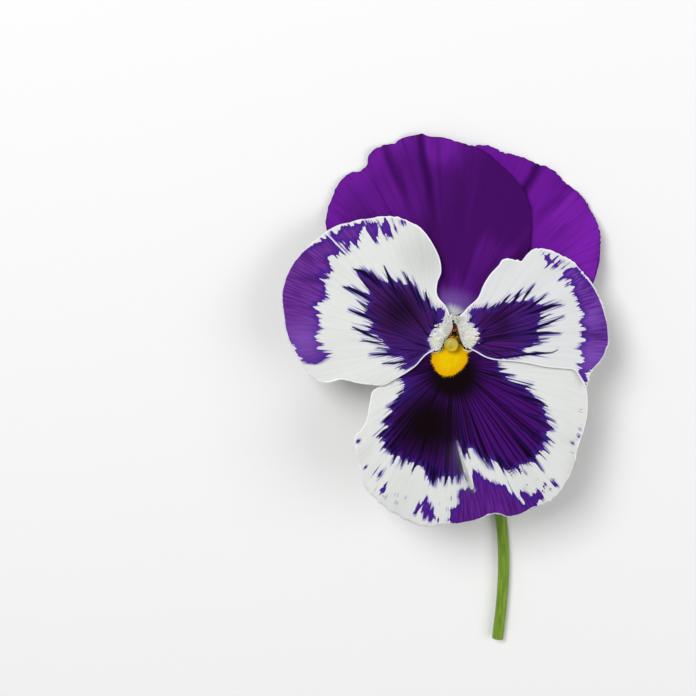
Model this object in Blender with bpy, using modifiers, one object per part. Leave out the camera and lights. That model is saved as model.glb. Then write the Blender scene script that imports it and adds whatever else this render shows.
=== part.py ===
"""A large-flowered pansy, picked with its stem and laid face up on a table.

The flower has its own frame, in millimetres: x to the right of the face, y to its top and z out of it, with
zero between the stigma and the petals' throat. stand() leans that frame back and lifts it over the table.
Every petal is one sheet: a claw that rises from the receptacle, and a limb that spreads from the throat.
"""

import bmesh
import bpy
import numpy as np

MM = 0.001

# The whole flower
LEAN = np.radians(16.0)
THROAT = (1.11, 14.22, 14.5)
PETAL_THICKNESS = 0.6
SEPAL_THICKNESS = 0.6

# The receptacle's axis, seen from the face, and the ring of claws round it
AXIS = np.array([0.5, 1.4])
CLAW_RING = 2.7
CLAW_FOOT = -6.5
CLAW_HALF_ANGLE = 25.0

# How deep each petal's rim lies in the throat, and how far the two upper petals bend back at their sides
SIDE_RIM = -1.5
LOWER_RIM = -2.9
UPPER_LEFT_RIM = -2.6
UPPER_RIGHT_RIM = -3.8
UPPER_BEND_LEFT = 2.72
UPPER_BEND_RIGHT = 2.1

# The stem
STEM_RADIUS = 1.15
STEM_HEIGHT = 0.95
STEM_FLAT = 0.2

# The cells of each grid and tube, and the points of each span of a smooth curve
PETAL_COLUMNS = 30
CLAW_ROWS = 3
LIMB_ROWS = 10
SEPAL_CELLS = (4, 14)
STEM_RINGS = 72
PISTIL_RINGS = 28
SPUR_RINGS = 14
CURVE_STEPS = 40


def clear_scene():
    for obj in list(bpy.data.objects):
        bpy.data.objects.remove(obj, do_unlink=True)


def make_material(name, colour, roughness):
    material = bpy.data.materials.new(name)
    material.use_nodes = True
    shader = material.node_tree.nodes["Principled BSDF"]
    shader.inputs["Base Color"].default_value = (*colour, 1.0)
    shader.inputs["Roughness"].default_value = roughness
    shader.inputs["Metallic"].default_value = 0.0
    material.diffuse_color = (*colour, 1.0)
    return material


def smooth_step(value):
    """0 below 0, 1 above 1, and a smooth S between."""
    value = np.clip(value, 0.0, 1.0)
    return value * value * (3.0 - 2.0 * value)


def smooth_curve(points):
    """A Catmull-Rom curve through the points: dense points, and the share of its length at each of them."""
    given = np.asarray(points, float)
    given = np.vstack([2 * given[0] - given[1], given, 2 * given[-1] - given[-2]])
    w = np.linspace(0, 1, CURVE_STEPS, endpoint=False)[:, None]
    spans = []
    for a, b, c, d in zip(given[:-3], given[1:-2], given[2:-1], given[3:]):
        cubic = (3 * b - a - 3 * c + d) * w**3
        square = (2 * a - 5 * b + 4 * c - d) * w**2
        spans.append(0.5 * (2 * b + (c - a) * w + square + cubic))
    dense = np.vstack(spans + [given[-2:-1]])
    length = np.concatenate([[0], np.cumsum(np.linalg.norm(np.diff(dense, axis=0), axis=1))])
    return dense, length / length[-1]


def read_curve(curve, share):
    """The points of a smooth curve at these shares of its length."""
    dense, shares = curve
    return np.stack([np.interp(share, shares, column) for column in dense.T], -1)


def stand(points):
    """Points of the flower's frame, in metres over the table."""
    x, y, z = np.moveaxis(np.asarray(points, float), -1, 0)
    cos, sin = np.cos(LEAN), np.sin(LEAN)
    placed = np.stack([x, y * cos + z * sin, z * cos - y * sin], -1)
    return (placed + np.array(THROAT)) * MM


def add_object(name, mesh, material, collection):
    obj = bpy.data.objects.new(name, mesh)
    obj.data.materials.clear()
    obj.data.materials.append(material)
    collection.objects.link(obj)
    return obj


def sheet_object(name, shape, columns, rows, thickness, material, collection):
    """A grid bent to shape(across, along), in triangles, and thickened by Solidify."""
    work = bmesh.new()
    bmesh.ops.create_grid(work, x_segments=columns, y_segments=rows, size=0.5)
    flat = np.array([vertex.co[:2] for vertex in work.verts]) + 0.5
    for vertex, place in zip(work.verts, stand(shape(flat[:, 0], flat[:, 1]))):
        vertex.co = place
    bmesh.ops.triangulate(work, faces=work.faces)
    mesh = bpy.data.meshes.new(name)
    work.to_mesh(mesh)
    work.free()
    mesh.shade_smooth()
    obj = add_object(name, mesh, material, collection)
    wall = obj.modifiers.new("thickness", "SOLIDIFY")
    wall.thickness = thickness * MM
    wall.offset = 0.0
    return obj


def mesh_facing_out(name, work):
    """The mesh of a closed bmesh, turned round if its faces point inwards."""
    bmesh.ops.recalc_face_normals(work, faces=work.faces)
    if work.calc_volume(signed=True) < 0:
        bmesh.ops.reverse_faces(work, faces=work.faces)
    mesh = bpy.data.meshes.new(name)
    work.to_mesh(mesh)
    work.free()
    return mesh


def tube_mesh(name, path, radii, count, on_table=False):
    """A tube along a smooth path of changing radius, as a closed mesh. The path is in the flower's frame."""
    shares = np.linspace(0, 1, count)
    knots = np.column_stack([path, radii])
    line = read_curve(smooth_curve(knots), shares)
    places = line[:, :3] * MM if on_table else stand(line[:, :3])
    curve = bpy.data.curves.new(name, "CURVE")
    curve.dimensions = "3D"
    curve.bevel_depth = MM
    curve.bevel_resolution = 2
    curve.use_fill_caps = True
    spline = curve.splines.new("POLY")
    spline.points.add(count - 1)
    for point, place, radius in zip(spline.points, places, line[:, 3]):
        point.co = (*place, 1.0)
        point.radius = radius
    guide = bpy.data.objects.new(name + "_guide", curve)
    bpy.context.scene.collection.objects.link(guide)
    bpy.context.view_layer.update()
    evaluated = guide.evaluated_get(bpy.context.evaluated_depsgraph_get())
    loose = bpy.data.meshes.new_from_object(evaluated)
    bpy.data.objects.remove(guide, do_unlink=True)
    bpy.data.curves.remove(curve)
    work = bmesh.new()
    work.from_mesh(loose)
    bpy.data.meshes.remove(loose)
    bmesh.ops.remove_doubles(work, verts=work.verts, dist=1e-6)
    return mesh_facing_out(name, work)


def join_by_union(obj, others, helpers):
    """One Boolean union of an object with the solids that grow from it."""
    for other in others:
        helpers.objects.link(other)
    union = obj.modifiers.new("grown together", "BOOLEAN")
    union.operation = "UNION"
    union.operand_type = "COLLECTION"
    union.collection = helpers
    union.solver = "MANIFOLD"
    bpy.context.view_layer.update()
    joined = bpy.data.meshes.new_from_object(obj.evaluated_get(bpy.context.evaluated_depsgraph_get()))
    obj.modifiers.clear()
    obj.data = joined
    for other in others:
        bpy.data.objects.remove(other, do_unlink=True)


# Petals: the outline of each limb, as seen from the face, runs from one end of the throat's rim up its near
# side, round its far margin and down its back side to the other end of the rim.

SIDE_LEFT = {
    "root": 198,
    "turn": 1,
    "bow": 3.0,
    "rim": [(-0.25, 4.0), (0.1, 2.7), (-0.8, 0.9), (-1.7, -0.4), (-2.2, -1.0)],
    "near": [(-0.5, 5.2), (-1.1, 6.5), (-2.6, 8.4), (-2.6, 10.6), (-1.9, 12.9), (-2.6, 16.1)],
    "far": [
        (-5.2, 20.1), (-8.7, 22.2), (-11.3, 22.7), (-15.7, 22.3), (-20.5, 21.1), (-24.4, 18.7), (-28.8, 14.4),
        (-30.7, 9.4), (-30.5, 5.2), (-29.6, 0.6), (-26.8, -4.4), (-24.7, -6.8), (-22.7, -7.3), (-20.1, -6.8),
        (-16.8, -7.4), (-12.6, -7.8),
    ],
    "back": [(-10.0, -6.6), (-6.8, -4.6), (-4.8, -2.5), (-3.2, -1.5)],
}

SIDE_RIGHT = {
    "root": 342,
    "turn": -1,
    "bow": 6.0,
    "rim": [(0.85, 3.75), (1.15, 2.8), (1.5, 1.5), (1.85, 0.3), (2.4, -0.8)],
    "near": [(1.4, 4.7), (2.1, 5.4), (3.0, 6.4), (4.7, 8.0), (5.7, 10.3), (6.9, 12.2), (8.4, 13.8)],
    "far": [
        (9.1, 14.8), (10.2, 15.0), (11.7, 14.8), (12.7, 14.7), (13.9, 16.1), (15.3, 16.9), (17.9, 16.5),
        (19.8, 15.7), (21.6, 14.8), (23.3, 13.2), (25.7, 10.1), (27.8, 5.6), (28.6, 1.0), (27.9, -1.7),
        (27.0, -3.5), (25.2, -5.6), (24.4, -8.2),
    ],
    "back": [
        (23.3, -6.6), (22.1, -5.1), (20.0, -4.8), (17.0, -4.5), (14.0, -3.9), (11.2, -3.5), (8.1, -3.3),
        (6.1, -2.8), (4.3, -1.8), (3.0, -1.1),
    ],
}

LOWER = {
    "root": 270,
    "turn": 1,
    "bow": 1.5,
    "rim": [(-1.7, -1.3), (-0.7, -1.45), (0.3, -1.5), (1.3, -1.45), (2.3, -1.3)],
    "near": [
        (-2.8, -1.8), (-4.4, -1.7), (-6.5, -3.0), (-8.5, -4.4), (-11.0, -6.2), (-12.6, -7.8), (-14.3, -8.9),
        (-14.8, -10.9), (-15.4, -14.1), (-16.6, -16.1),
    ],
    "far": [
        (-17.6, -17.2), (-17.2, -19.8), (-16.5, -23.3), (-15.8, -26.1), (-14.1, -28.1), (-12.0, -30.1),
        (-9.2, -31.9), (-6.3, -33.3), (-3.4, -33.6), (-0.6, -33.3), (2.9, -33.0), (5.5, -32.3), (7.2, -31.4),
        (8.9, -31.4), (10.3, -31.9), (12.6, -31.6), (14.9, -30.4), (17.2, -29.6), (19.5, -27.8), (21.2, -25.0),
        (22.4, -22.4), (23.3, -18.7), (24.4, -15.2),
    ],
    "back": [
        (24.8, -12.1), (24.7, -9.5), (24.2, -7.0), (22.6, -4.6), (19.4, -3.4), (16.0, -2.6), (12.2, -1.9),
        (9.5, -1.3), (7.0, -1.0), (4.9, -1.2), (3.3, -1.5),
    ],
}

UPPER_LEFT = {
    "root": 126,
    "turn": -1,
    "bow": 1.0,
    "rim": [(-2.0, 3.9), (-0.8, 4.4), (0.4, 4.6)],
    "near": [(-3.2, 4.8), (-5.5, 5.6), (-9.4, 7.0), (-14.8, 9.7), (-19.3, 13.3)],
    "far": [
        (-22.0, 17.5), (-22.7, 21.1), (-22.6, 23.6), (-21.7, 26.3), (-20.2, 29.3), (-18.1, 31.0),
        (-16.3, 31.3), (-15.3, 32.3), (-14.9, 33.9), (-14.1, 34.8), (-12.4, 35.8), (-10.2, 36.2),
        (-8.9, 37.1), (-6.7, 37.6), (-5.4, 37.8), (-4.1, 37.3), (-2.2, 37.2), (0.3, 36.6), (3.1, 35.8),
        (5.5, 34.9), (8.3, 32.9), (10.7, 30.5), (12.7, 28.4), (13.9, 26.3), (14.5, 23.6),
    ],
    "back": [(14.5, 19.8), (14.1, 16.7), (12.6, 13.3), (9.5, 10.2), (5.4, 7.4), (2.4, 5.5), (1.1, 4.9)],
}

UPPER_RIGHT = {
    "root": 54,
    "turn": -1,
    "bow": 1.0,
    "rim": [(0.9, 4.8), (2.0, 4.1), (2.9, 3.2)],
    "near": [(0.5, 6.2), (-0.9, 9.4), (-2.6, 15.0), (-3.6, 21.2), (-3.4, 27.4)],
    "far": [
        (-1.8, 32.2), (0.9, 35.0), (4.1, 35.7), (5.5, 35.8), (7.6, 35.6), (9.3, 34.6), (12.4, 33.9),
        (15.8, 32.7), (18.6, 31.5), (20.3, 29.9), (22.4, 28.4), (24.5, 26.3), (25.8, 24.2), (26.9, 21.8),
        (27.4, 18.7), (27.2, 15.3),
    ],
    "back": [(26.7, 13.2), (25.6, 10.3), (22.8, 8.1), (18.0, 6.6), (13.0, 5.4), (8.0, 4.3), (4.8, 3.4)],
}


def side_left_depth(across, along, x, y, reach):
    """Out of the throat over a short rise, nearly flat, then falling back to a waved margin."""
    depth = SIDE_RIM + 0.9 * (1 - np.exp(-reach / 0.8)) - 0.010 * np.maximum(0, reach - 13) ** 2
    return depth + 0.4 * along**3 * np.sin(2 * np.pi * (3.5 * across + 0.1))


def side_right_depth(across, along, x, y, reach):
    """As its pair, with a flatter limb whose tip lies over the lower petal."""
    depth = SIDE_RIM + 0.9 * (1 - np.exp(-reach / 0.8)) - 0.007 * np.maximum(0, reach - 12) ** 2
    waves = 0.4 * along**3 * np.sin(2 * np.pi * (3.5 * across + 0.4))
    return depth + waves * smooth_step((0.95 - across) / 0.2)


def lower_depth(across, along, x, y, reach):
    """Deepest at the throat, arched at mid length, and ruffled round its free margin."""
    arch = 0.4 * np.sin(np.pi * np.clip(reach / 26, 0, 1))
    depth = LOWER_RIM + 0.7 * (1 - np.exp(-reach / 1.5)) + arch - 0.011 * np.maximum(0, reach - 16) ** 2
    waves = 0.5 * along**3 * np.sin(2 * np.pi * (5 * across + 0.2))
    return depth + waves * smooth_step(across / 0.1) * smooth_step((1 - across) / 0.2)


def upper_bend(x, y):
    """The barrel shape that the two upper petals share, so that one lies close behind the other."""
    side = (x - 2.0) / 19.0
    amount = np.where(side < 0, UPPER_BEND_LEFT, UPPER_BEND_RIGHT)
    return -amount * side**2 * smooth_step((y - 6) / 24)


def upper_left_depth(across, along, x, y, reach):
    waves = 0.45 * smooth_step((-x - 2) / 6) * along**3 * np.sin(2 * np.pi * 6 * across)
    return UPPER_LEFT_RIM + upper_bend(x, y) + waves


def upper_right_depth(across, along, x, y, reach):
    waves = 0.45 * smooth_step((x - 12) / 6) * along**3 * np.sin(2 * np.pi * 6 * across)
    return UPPER_RIGHT_RIM + upper_bend(x, y) + waves


def limb(petal, depth, across, along):
    """A four-sided patch between the throat's rim and the outline, its veins bowed towards the middle."""
    rim = smooth_curve(petal["rim"])
    outline = [petal["rim"][0], *petal["near"], *petal["far"], *petal["back"], petal["rim"][-1]]
    edge = smooth_curve(outline)
    first = 1 + len(petal["near"])
    last = first + len(petal["far"]) - 1
    shoulder_a, shoulder_b = edge[1][CURVE_STEPS * first], edge[1][CURVE_STEPS * last]
    s, t = across[:, None], along[:, None]
    bottom = read_curve(rim, across)
    top = read_curve(edge, shoulder_a + (shoulder_b - shoulder_a) * across)
    side_a = read_curve(edge, shoulder_a * along)
    side_b = read_curve(edge, 1 - (1 - shoulder_b) * along)
    corners = (rim[0][0], rim[0][-1], read_curve(edge, shoulder_a), read_curve(edge, shoulder_b))
    plane = (1 - t) * ((1 - s) * corners[0] + s * corners[1]) + t * ((1 - s) * corners[2] + s * corners[3])
    flat = (1 - t) * bottom + t * top + (1 - s) * side_a + s * side_b - plane
    sideways = corners[3] - corners[2]
    sideways = sideways / np.linalg.norm(sideways)
    fan = (1 - 2 * s) * smooth_step(s / 0.3) * smooth_step((1 - s) / 0.3)
    flat = flat + petal["bow"] * 4 * t * (1 - t) * fan * sideways
    reach = np.linalg.norm(flat - bottom, axis=1)
    z = depth(across, along, flat[:, 0], flat[:, 1], reach)
    return np.column_stack([flat, z])


def claw(petal, depth, across, down):
    """From the throat's rim back to the petal's own stretch of the ring of claws on the receptacle."""
    rim = limb(petal, depth, across, np.zeros_like(across))
    angle = np.radians(petal["root"] + petal["turn"] * CLAW_HALF_ANGLE * (2 * across - 1))
    foot = AXIS + CLAW_RING * np.stack([np.cos(angle), np.sin(angle)], -1)
    outward = 1 - (1 - down) ** 1.6
    flat = rim[:, :2] + (foot - rim[:, :2]) * outward[:, None]
    z = rim[:, 2] + (CLAW_FOOT - rim[:, 2]) * down
    return np.column_stack([flat, z])


def petal_shape(petal, depth):
    """The whole sheet over a square: its first rows are the claw, and the rest the limb."""
    claw_share = CLAW_ROWS / (CLAW_ROWS + LIMB_ROWS)

    def shape(across, up):
        down = np.clip(1 - up / claw_share, 0, 1)
        along = np.clip((up - claw_share) / (1 - claw_share), 0, 1) ** 1.4
        in_claw = (up < claw_share)[:, None]
        return np.where(in_claw, claw(petal, depth, across, down), limb(petal, depth, across, along))

    return shape


def make_petal(name, petal, depth, material, collection):
    rows = CLAW_ROWS + LIMB_ROWS
    shape = petal_shape(petal, depth)
    return sheet_object(name, shape, PETAL_COLUMNS, rows, PETAL_THICKNESS, material, collection)


SPUR_PATH = [
    (0.5, -1.6, -4.9), (0.5, -2.4, -6.0), (0.5, -3.1, -7.6), (0.5, -3.6, -9.4), (0.5, -3.8, -10.9),
    (0.5, -3.85, -11.4),
]
SPUR_RADII = [0.6, 1.0, 1.1, 1.05, 0.8, 0.3]


def add_spur(petal, helpers):
    """The blunt nectar spur, grown from the back of the lower petal's claw, between the two lower sepals."""
    mesh = tube_mesh("spur", SPUR_PATH, SPUR_RADII, SPUR_RINGS)
    join_by_union(petal, [bpy.data.objects.new("spur", mesh)], helpers)


# Sepals: each has a pointed blade under the petals, and an ear that reaches back past the receptacle.

SEPAL_ANGLES = (90, 157, 222, 318, 23)
SEPAL_LINE = [(3.35, -9.6), (3.35, -8.6), (3.5, -7.7), (4.3, -7.2), (6.5, -6.8), (10.0, -6.2), (14.5, -5.6)]
SEPAL_HALF_WIDTHS = [0.7, 1.15, 1.2, 1.5, 2.0, 1.6, 0.15]


def sepal_shape(angle):
    line = smooth_curve([(r, z, w) for (r, z), w in zip(SEPAL_LINE, SEPAL_HALF_WIDTHS)])
    radial = np.array([np.cos(np.radians(angle)), np.sin(np.radians(angle))])
    tangent = np.array([-radial[1], radial[0]])

    def shape(across, along):
        r, z, half = read_curve(line, along).T
        side = (2 * across - 1) * half
        flat = AXIS + r[:, None] * radial + side[:, None] * tangent
        keel = 0.35 * (1 - (2 * across - 1) ** 2) * np.minimum(1, half)
        return np.column_stack([flat, z - keel])

    return shape


# Stamens: five flat anthers that lean together round the ovary.

STAMEN_RING = 1.52
STAMEN_SIZE = (1.4, 0.5, 3.2)
STAMEN_MIDDLE = -4.85
STAMEN_LEAN = 0.2


def make_stamen(name, angle, material, collection):
    """An ellipsoid, wide across the ring and thin through it, leaning in towards the style."""
    work = bmesh.new()
    bmesh.ops.create_uvsphere(work, u_segments=10, v_segments=8, radius=0.5)
    radial = np.array([np.cos(np.radians(angle)), np.sin(np.radians(angle))])
    tangent = np.array([-radial[1], radial[0]])
    for vertex in work.verts:
        wide, thin, tall = np.array(vertex.co) * STAMEN_SIZE
        r = STAMEN_RING + thin - STAMEN_LEAN * tall
        flat = AXIS + r * radial + wide * tangent
        vertex.co = stand((*flat, STAMEN_MIDDLE + tall))
    mesh = mesh_facing_out(name, work)
    mesh.shade_smooth()
    return add_object(name, mesh, material, collection)


# Pistil: ovary, bent style and round stigma in one.

PISTIL_PATH = [
    (0.5, 1.4, -6.5), (0.5, 1.4, -6.2), (0.5, 1.4, -5.3), (0.5, 1.4, -4.5), (0.5, 1.35, -3.8),
    (0.45, 1.2, -3.0), (0.3, 0.8, -2.3), (0.1, 0.2, -1.8), (0.0, -0.1, -1.5), (-0.1, -0.4, -1.0),
    (-0.1, -0.55, -0.5), (-0.15, -0.65, -0.15), (-0.15, -0.7, 0.0),
]
PISTIL_RADII = [0.4, 0.8, 1.0, 0.8, 0.42, 0.3, 0.32, 0.42, 0.75, 1.03, 1.0, 0.72, 0.3]


# Peduncle: the receptacle's disc is in the flower's frame. The crook under it and the stem are measured from
# the point of the table below the throat.

RECEPTACLE_PATH = [(0.5, 1.4, -6.85), (0.5, 1.4, -7.0), (0.5, 1.4, -7.7), (0.5, 1.5, -8.5), (0.5, 1.75, -9.3)]
RECEPTACLE_RADII = [2.5, 2.72, 2.6, 1.7, 1.2]
CROOK_PATH = [(0.5, -0.45, 4.2), (0.5, -0.15, 3.4), (0.5, -0.3, 2.5), (0.6, -1.1, 1.75), (0.8, -2.6, 1.4)]
STEM_PATH = [
    (1.3, -6.5, 1.5), (3.2, -14.0, 1.7), (6.0, -22.0, 1.4), (8.8, -31.0, STEM_HEIGHT),
    (10.7, -39.0, STEM_HEIGHT), (11.4, -47.0, STEM_HEIGHT), (11.3, -55.0, STEM_HEIGHT),
    (10.6, -64.0, STEM_HEIGHT),
]
BRACTEOLE_SHARES = (0.25, 0.28)
BRACTEOLE_SIZE = (1.3, 0.7, 3.4)
BRACTEOLE_ROOT = 0.55
BRACTEOLE_SUNK = 0.1
BRACTEOLE_LEAN = (0.85, 0.5)


def make_peduncle(material, collection, helpers):
    """A tube from the receptacle's disc to the cut, pressed flat where it lies on the table."""
    top = stand(RECEPTACLE_PATH) / MM
    lying = np.array(CROOK_PATH + STEM_PATH) + (THROAT[0], THROAT[1], 0)
    path = np.vstack([top, lying])
    lying_radii = np.linspace(STEM_RADIUS * 0.95, STEM_RADIUS, len(lying))
    radii = [*RECEPTACLE_RADII, *lying_radii]
    mesh = tube_mesh("peduncle", path, radii, STEM_RINGS, on_table=True)
    for vertex in mesh.vertices:
        if vertex.co.z < STEM_FLAT * MM:
            vertex.co.z = 0.0
    obj = add_object("peduncle", mesh, material, collection)
    line = smooth_curve(path)
    scales = [make_bracteole(line, share, side) for share, side in zip(BRACTEOLE_SHARES, (-1, 1))]
    join_by_union(obj, scales, helpers)
    obj.data.shade_smooth()


def make_bracteole(line, share, side):
    """A scale leaf: a flattened cone, its root sunk in the stem, pointing back up towards the flower."""
    here, ahead = read_curve(line, np.array([share, share - 0.02]))
    forward = (ahead - here) / np.linalg.norm(ahead - here)
    outward = side * np.cross(forward, (0, 0, 1))
    outward = outward / np.linalg.norm(outward)
    upward = np.cross(outward, forward)
    wide, thick, tall = BRACTEOLE_SIZE
    lean = BRACTEOLE_LEAN[0] * forward + BRACTEOLE_LEAN[1] * outward
    work = bmesh.new()
    bmesh.ops.create_cone(work, cap_ends=True, segments=8, radius1=0.5, radius2=0.06, depth=1.0)
    for vertex in work.verts:
        a, b, c = vertex.co
        root = here + (BRACTEOLE_ROOT + a * wide) * outward + b * thick * upward
        vertex.co = (root + (c + 0.5 - BRACTEOLE_SUNK) * tall * lean) * MM
    return bpy.data.objects.new("bracteole", mesh_facing_out("bracteole", work))


def main():
    clear_scene()
    collection = bpy.data.collections.new("pansy flower")
    helpers = bpy.data.collections.new("helpers")
    bpy.context.scene.collection.children.link(collection)
    bpy.context.scene.collection.children.link(helpers)

    upper = make_material("petal purple", (0.13, 0.01, 0.28), 0.6)
    white = make_material("petal white", (0.82, 0.82, 0.79), 0.55)
    green = make_material("sepal green", (0.10, 0.17, 0.03), 0.5)
    stem = make_material("stem green", (0.19, 0.27, 0.05), 0.45)
    yellow = make_material("stigma yellow green", (0.55, 0.50, 0.12), 0.4)
    orange = make_material("anther orange", (0.45, 0.20, 0.05), 0.6)

    make_petal("petal_upper_right", UPPER_RIGHT, upper_right_depth, upper, collection)
    make_petal("petal_upper_left", UPPER_LEFT, upper_left_depth, upper, collection)
    make_petal("petal_side_left", SIDE_LEFT, side_left_depth, white, collection)
    make_petal("petal_side_right", SIDE_RIGHT, side_right_depth, white, collection)
    add_spur(make_petal("petal_lower", LOWER, lower_depth, white, collection), helpers)

    for number, angle in enumerate(SEPAL_ANGLES, 1):
        sheet_object(f"sepal_{number}", sepal_shape(angle), *SEPAL_CELLS, SEPAL_THICKNESS, green, collection)
    for number in range(5):
        make_stamen(f"stamen_{number + 1}", 90 + 72 * number, orange, collection)
    pistil = tube_mesh("pistil", PISTIL_PATH, PISTIL_RADII, PISTIL_RINGS)
    pistil.shade_smooth()
    add_object("pistil", pistil, yellow, collection)
    make_peduncle(stem, collection, helpers)
    bpy.data.collections.remove(helpers)


main()
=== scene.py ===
"""A picked pansy lying face up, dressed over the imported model: petals, beards, pistil, anthers, sepals, stem.

The flower has its own frame, in millimetres: x to the right of the face, y to its top and z out of it, with
zero at the throat. stand() leans that frame back and puts it in its place over the floor, in metres.
"""

import bpy
import numpy as np
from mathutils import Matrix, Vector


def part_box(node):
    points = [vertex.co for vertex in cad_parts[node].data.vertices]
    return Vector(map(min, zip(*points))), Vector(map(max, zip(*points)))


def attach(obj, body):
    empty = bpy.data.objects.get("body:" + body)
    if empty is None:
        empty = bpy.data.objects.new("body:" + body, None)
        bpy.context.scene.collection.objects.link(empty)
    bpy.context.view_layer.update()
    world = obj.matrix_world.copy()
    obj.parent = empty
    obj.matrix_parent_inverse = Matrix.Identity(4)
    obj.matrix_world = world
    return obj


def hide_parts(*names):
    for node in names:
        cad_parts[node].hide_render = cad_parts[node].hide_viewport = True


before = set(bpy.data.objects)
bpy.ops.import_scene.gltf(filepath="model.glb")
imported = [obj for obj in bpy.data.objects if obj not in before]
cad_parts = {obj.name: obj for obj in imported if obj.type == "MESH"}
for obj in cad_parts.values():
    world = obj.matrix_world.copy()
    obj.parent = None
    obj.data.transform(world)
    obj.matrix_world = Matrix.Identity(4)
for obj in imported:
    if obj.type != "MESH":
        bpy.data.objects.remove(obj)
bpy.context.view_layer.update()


# Camera
# The photograph looks straight into the bloom's face. The bloom leans back as it lies, so the camera leans
# with it, and stands a little to the left, where the middle of the picture is.

LEAN = np.radians(16.0)
PISTIL_FOOT = np.array([-1.16, -1.72, -6.74])
THROAT = np.array(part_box("pistil")[0]) * 1000 - PISTIL_FOOT
EYE = (-18.72, -1.08, 348.0)
LENS_MM = 100.0
REST_GAP = 0.15


def stand(points):
    """Leaned back about the x axis through the throat by LEAN, moved to the throat's place, in metres. What
    would lie lower than REST_GAP is pressed up by the floor, to REST_GAP * e^(height / REST_GAP - 1)."""
    x, y, z = np.moveaxis(np.asarray(points, float), -1, 0)
    turned = np.stack([x, y * np.cos(LEAN) + z * np.sin(LEAN), z * np.cos(LEAN) - y * np.sin(LEAN)], -1)
    placed = turned + THROAT
    height = placed[..., 2]
    pressed = REST_GAP * np.exp(np.minimum(height / REST_GAP, 1) - 1)
    placed[..., 2] = np.where(height < REST_GAP, pressed, height)
    return placed / 1000


camera = bpy.data.objects.new("camera", bpy.data.cameras.new("camera"))
camera.data.lens = LENS_MM
camera.data.sensor_width = 36.0
camera.data.clip_start = 0.01
camera.location = stand(EYE)
camera.rotation_euler = (-LEAN, 0, 0)
bpy.context.scene.collection.objects.link(camera)
bpy.context.scene.camera = camera


# Floor and light
# A plain pale floor under a soft white studio light: one broad lamp above the bloom's top left, a weaker one
# from the right, and an even white surround.

FLOOR_SIDE = 3.0
FLOOR_DROP = 0.00005

floor_mesh = bpy.data.meshes.new("floor")
corner = FLOOR_SIDE / 2
floor_mesh.from_pydata(
    [(-corner, -corner, -FLOOR_DROP), (corner, -corner, -FLOOR_DROP), (corner, corner, -FLOOR_DROP),
     (-corner, corner, -FLOOR_DROP)], [], [(0, 1, 2, 3)])
floor = bpy.data.objects.new("floor", floor_mesh)
floor_paint = bpy.data.materials.new("pale floor")
floor_paint.use_nodes = True
floor_paint.node_tree.nodes["Principled BSDF"].inputs["Base Color"].default_value = (0.9, 0.9, 0.9, 1)
floor_paint.node_tree.nodes["Principled BSDF"].inputs["Roughness"].default_value = 0.8
floor_mesh.materials.append(floor_paint)
bpy.context.scene.collection.objects.link(floor)

world = bpy.data.worlds.new("studio")
world.use_nodes = True
world.node_tree.nodes["Background"].inputs["Color"].default_value = (1, 1, 1, 1)
world.node_tree.nodes["Background"].inputs["Strength"].default_value = 0.34
bpy.context.scene.world = world
bpy.context.scene.view_settings.view_transform = "Standard"


def add_lamp(name, place, size, watts):
    """A square soft box at a place in metres, turned to face the bloom."""
    lamp = bpy.data.lights.new(name, "AREA")
    lamp.size = size
    lamp.energy = watts
    obj = bpy.data.objects.new(name, lamp)
    obj.location = place
    towards = -obj.location
    obj.rotation_euler = towards.to_track_quat("-Z", "Y").to_euler()
    bpy.context.scene.collection.objects.link(obj)


add_lamp("key lamp", (-0.3, 0.42, 0.72), 0.35, 5.0)
add_lamp("fill lamp", (0.55, 0.05, 0.6), 0.5, 1.9)


# Upper petals
# Two broad velvety purple petals at the top, the left one in front. Each is one thin sheet that narrows to a
# white claw at the throat, with fine radiating veins, shallow folds and a slightly ruffled margin.

PETAL_HALF_THICKNESS = 0.15
CURVE_STEPS = 40
AXIS = np.array([0.5, 1.4])
CLAW_RING = 2.7
CLAW_FOOT = -6.5
CLAW_HALF_ANGLE = 25.0
CLAW_SHARE = 3 / 13
CLAW_POWER = 1.6
ROW_POWER = 0.85
LIMB_POWER = 1.4
RUFFLE = 0.13
RUFFLE_CELLS = 85
RUFFLE_POWER = 12
NOISE_CELLS = 251
VEIN_DEGREES = 1.8
FOLD_SHADE_DARKNESS = 1.6
LIP_MM = 0.3
FAR_FROM_MARGIN = 9.0
UPPER_LEFT_RIM = -2.6
UPPER_RIGHT_RIM = -3.8
UPPER_BEND_LEFT = 2.72
UPPER_BEND_RIGHT = 2.1

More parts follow.
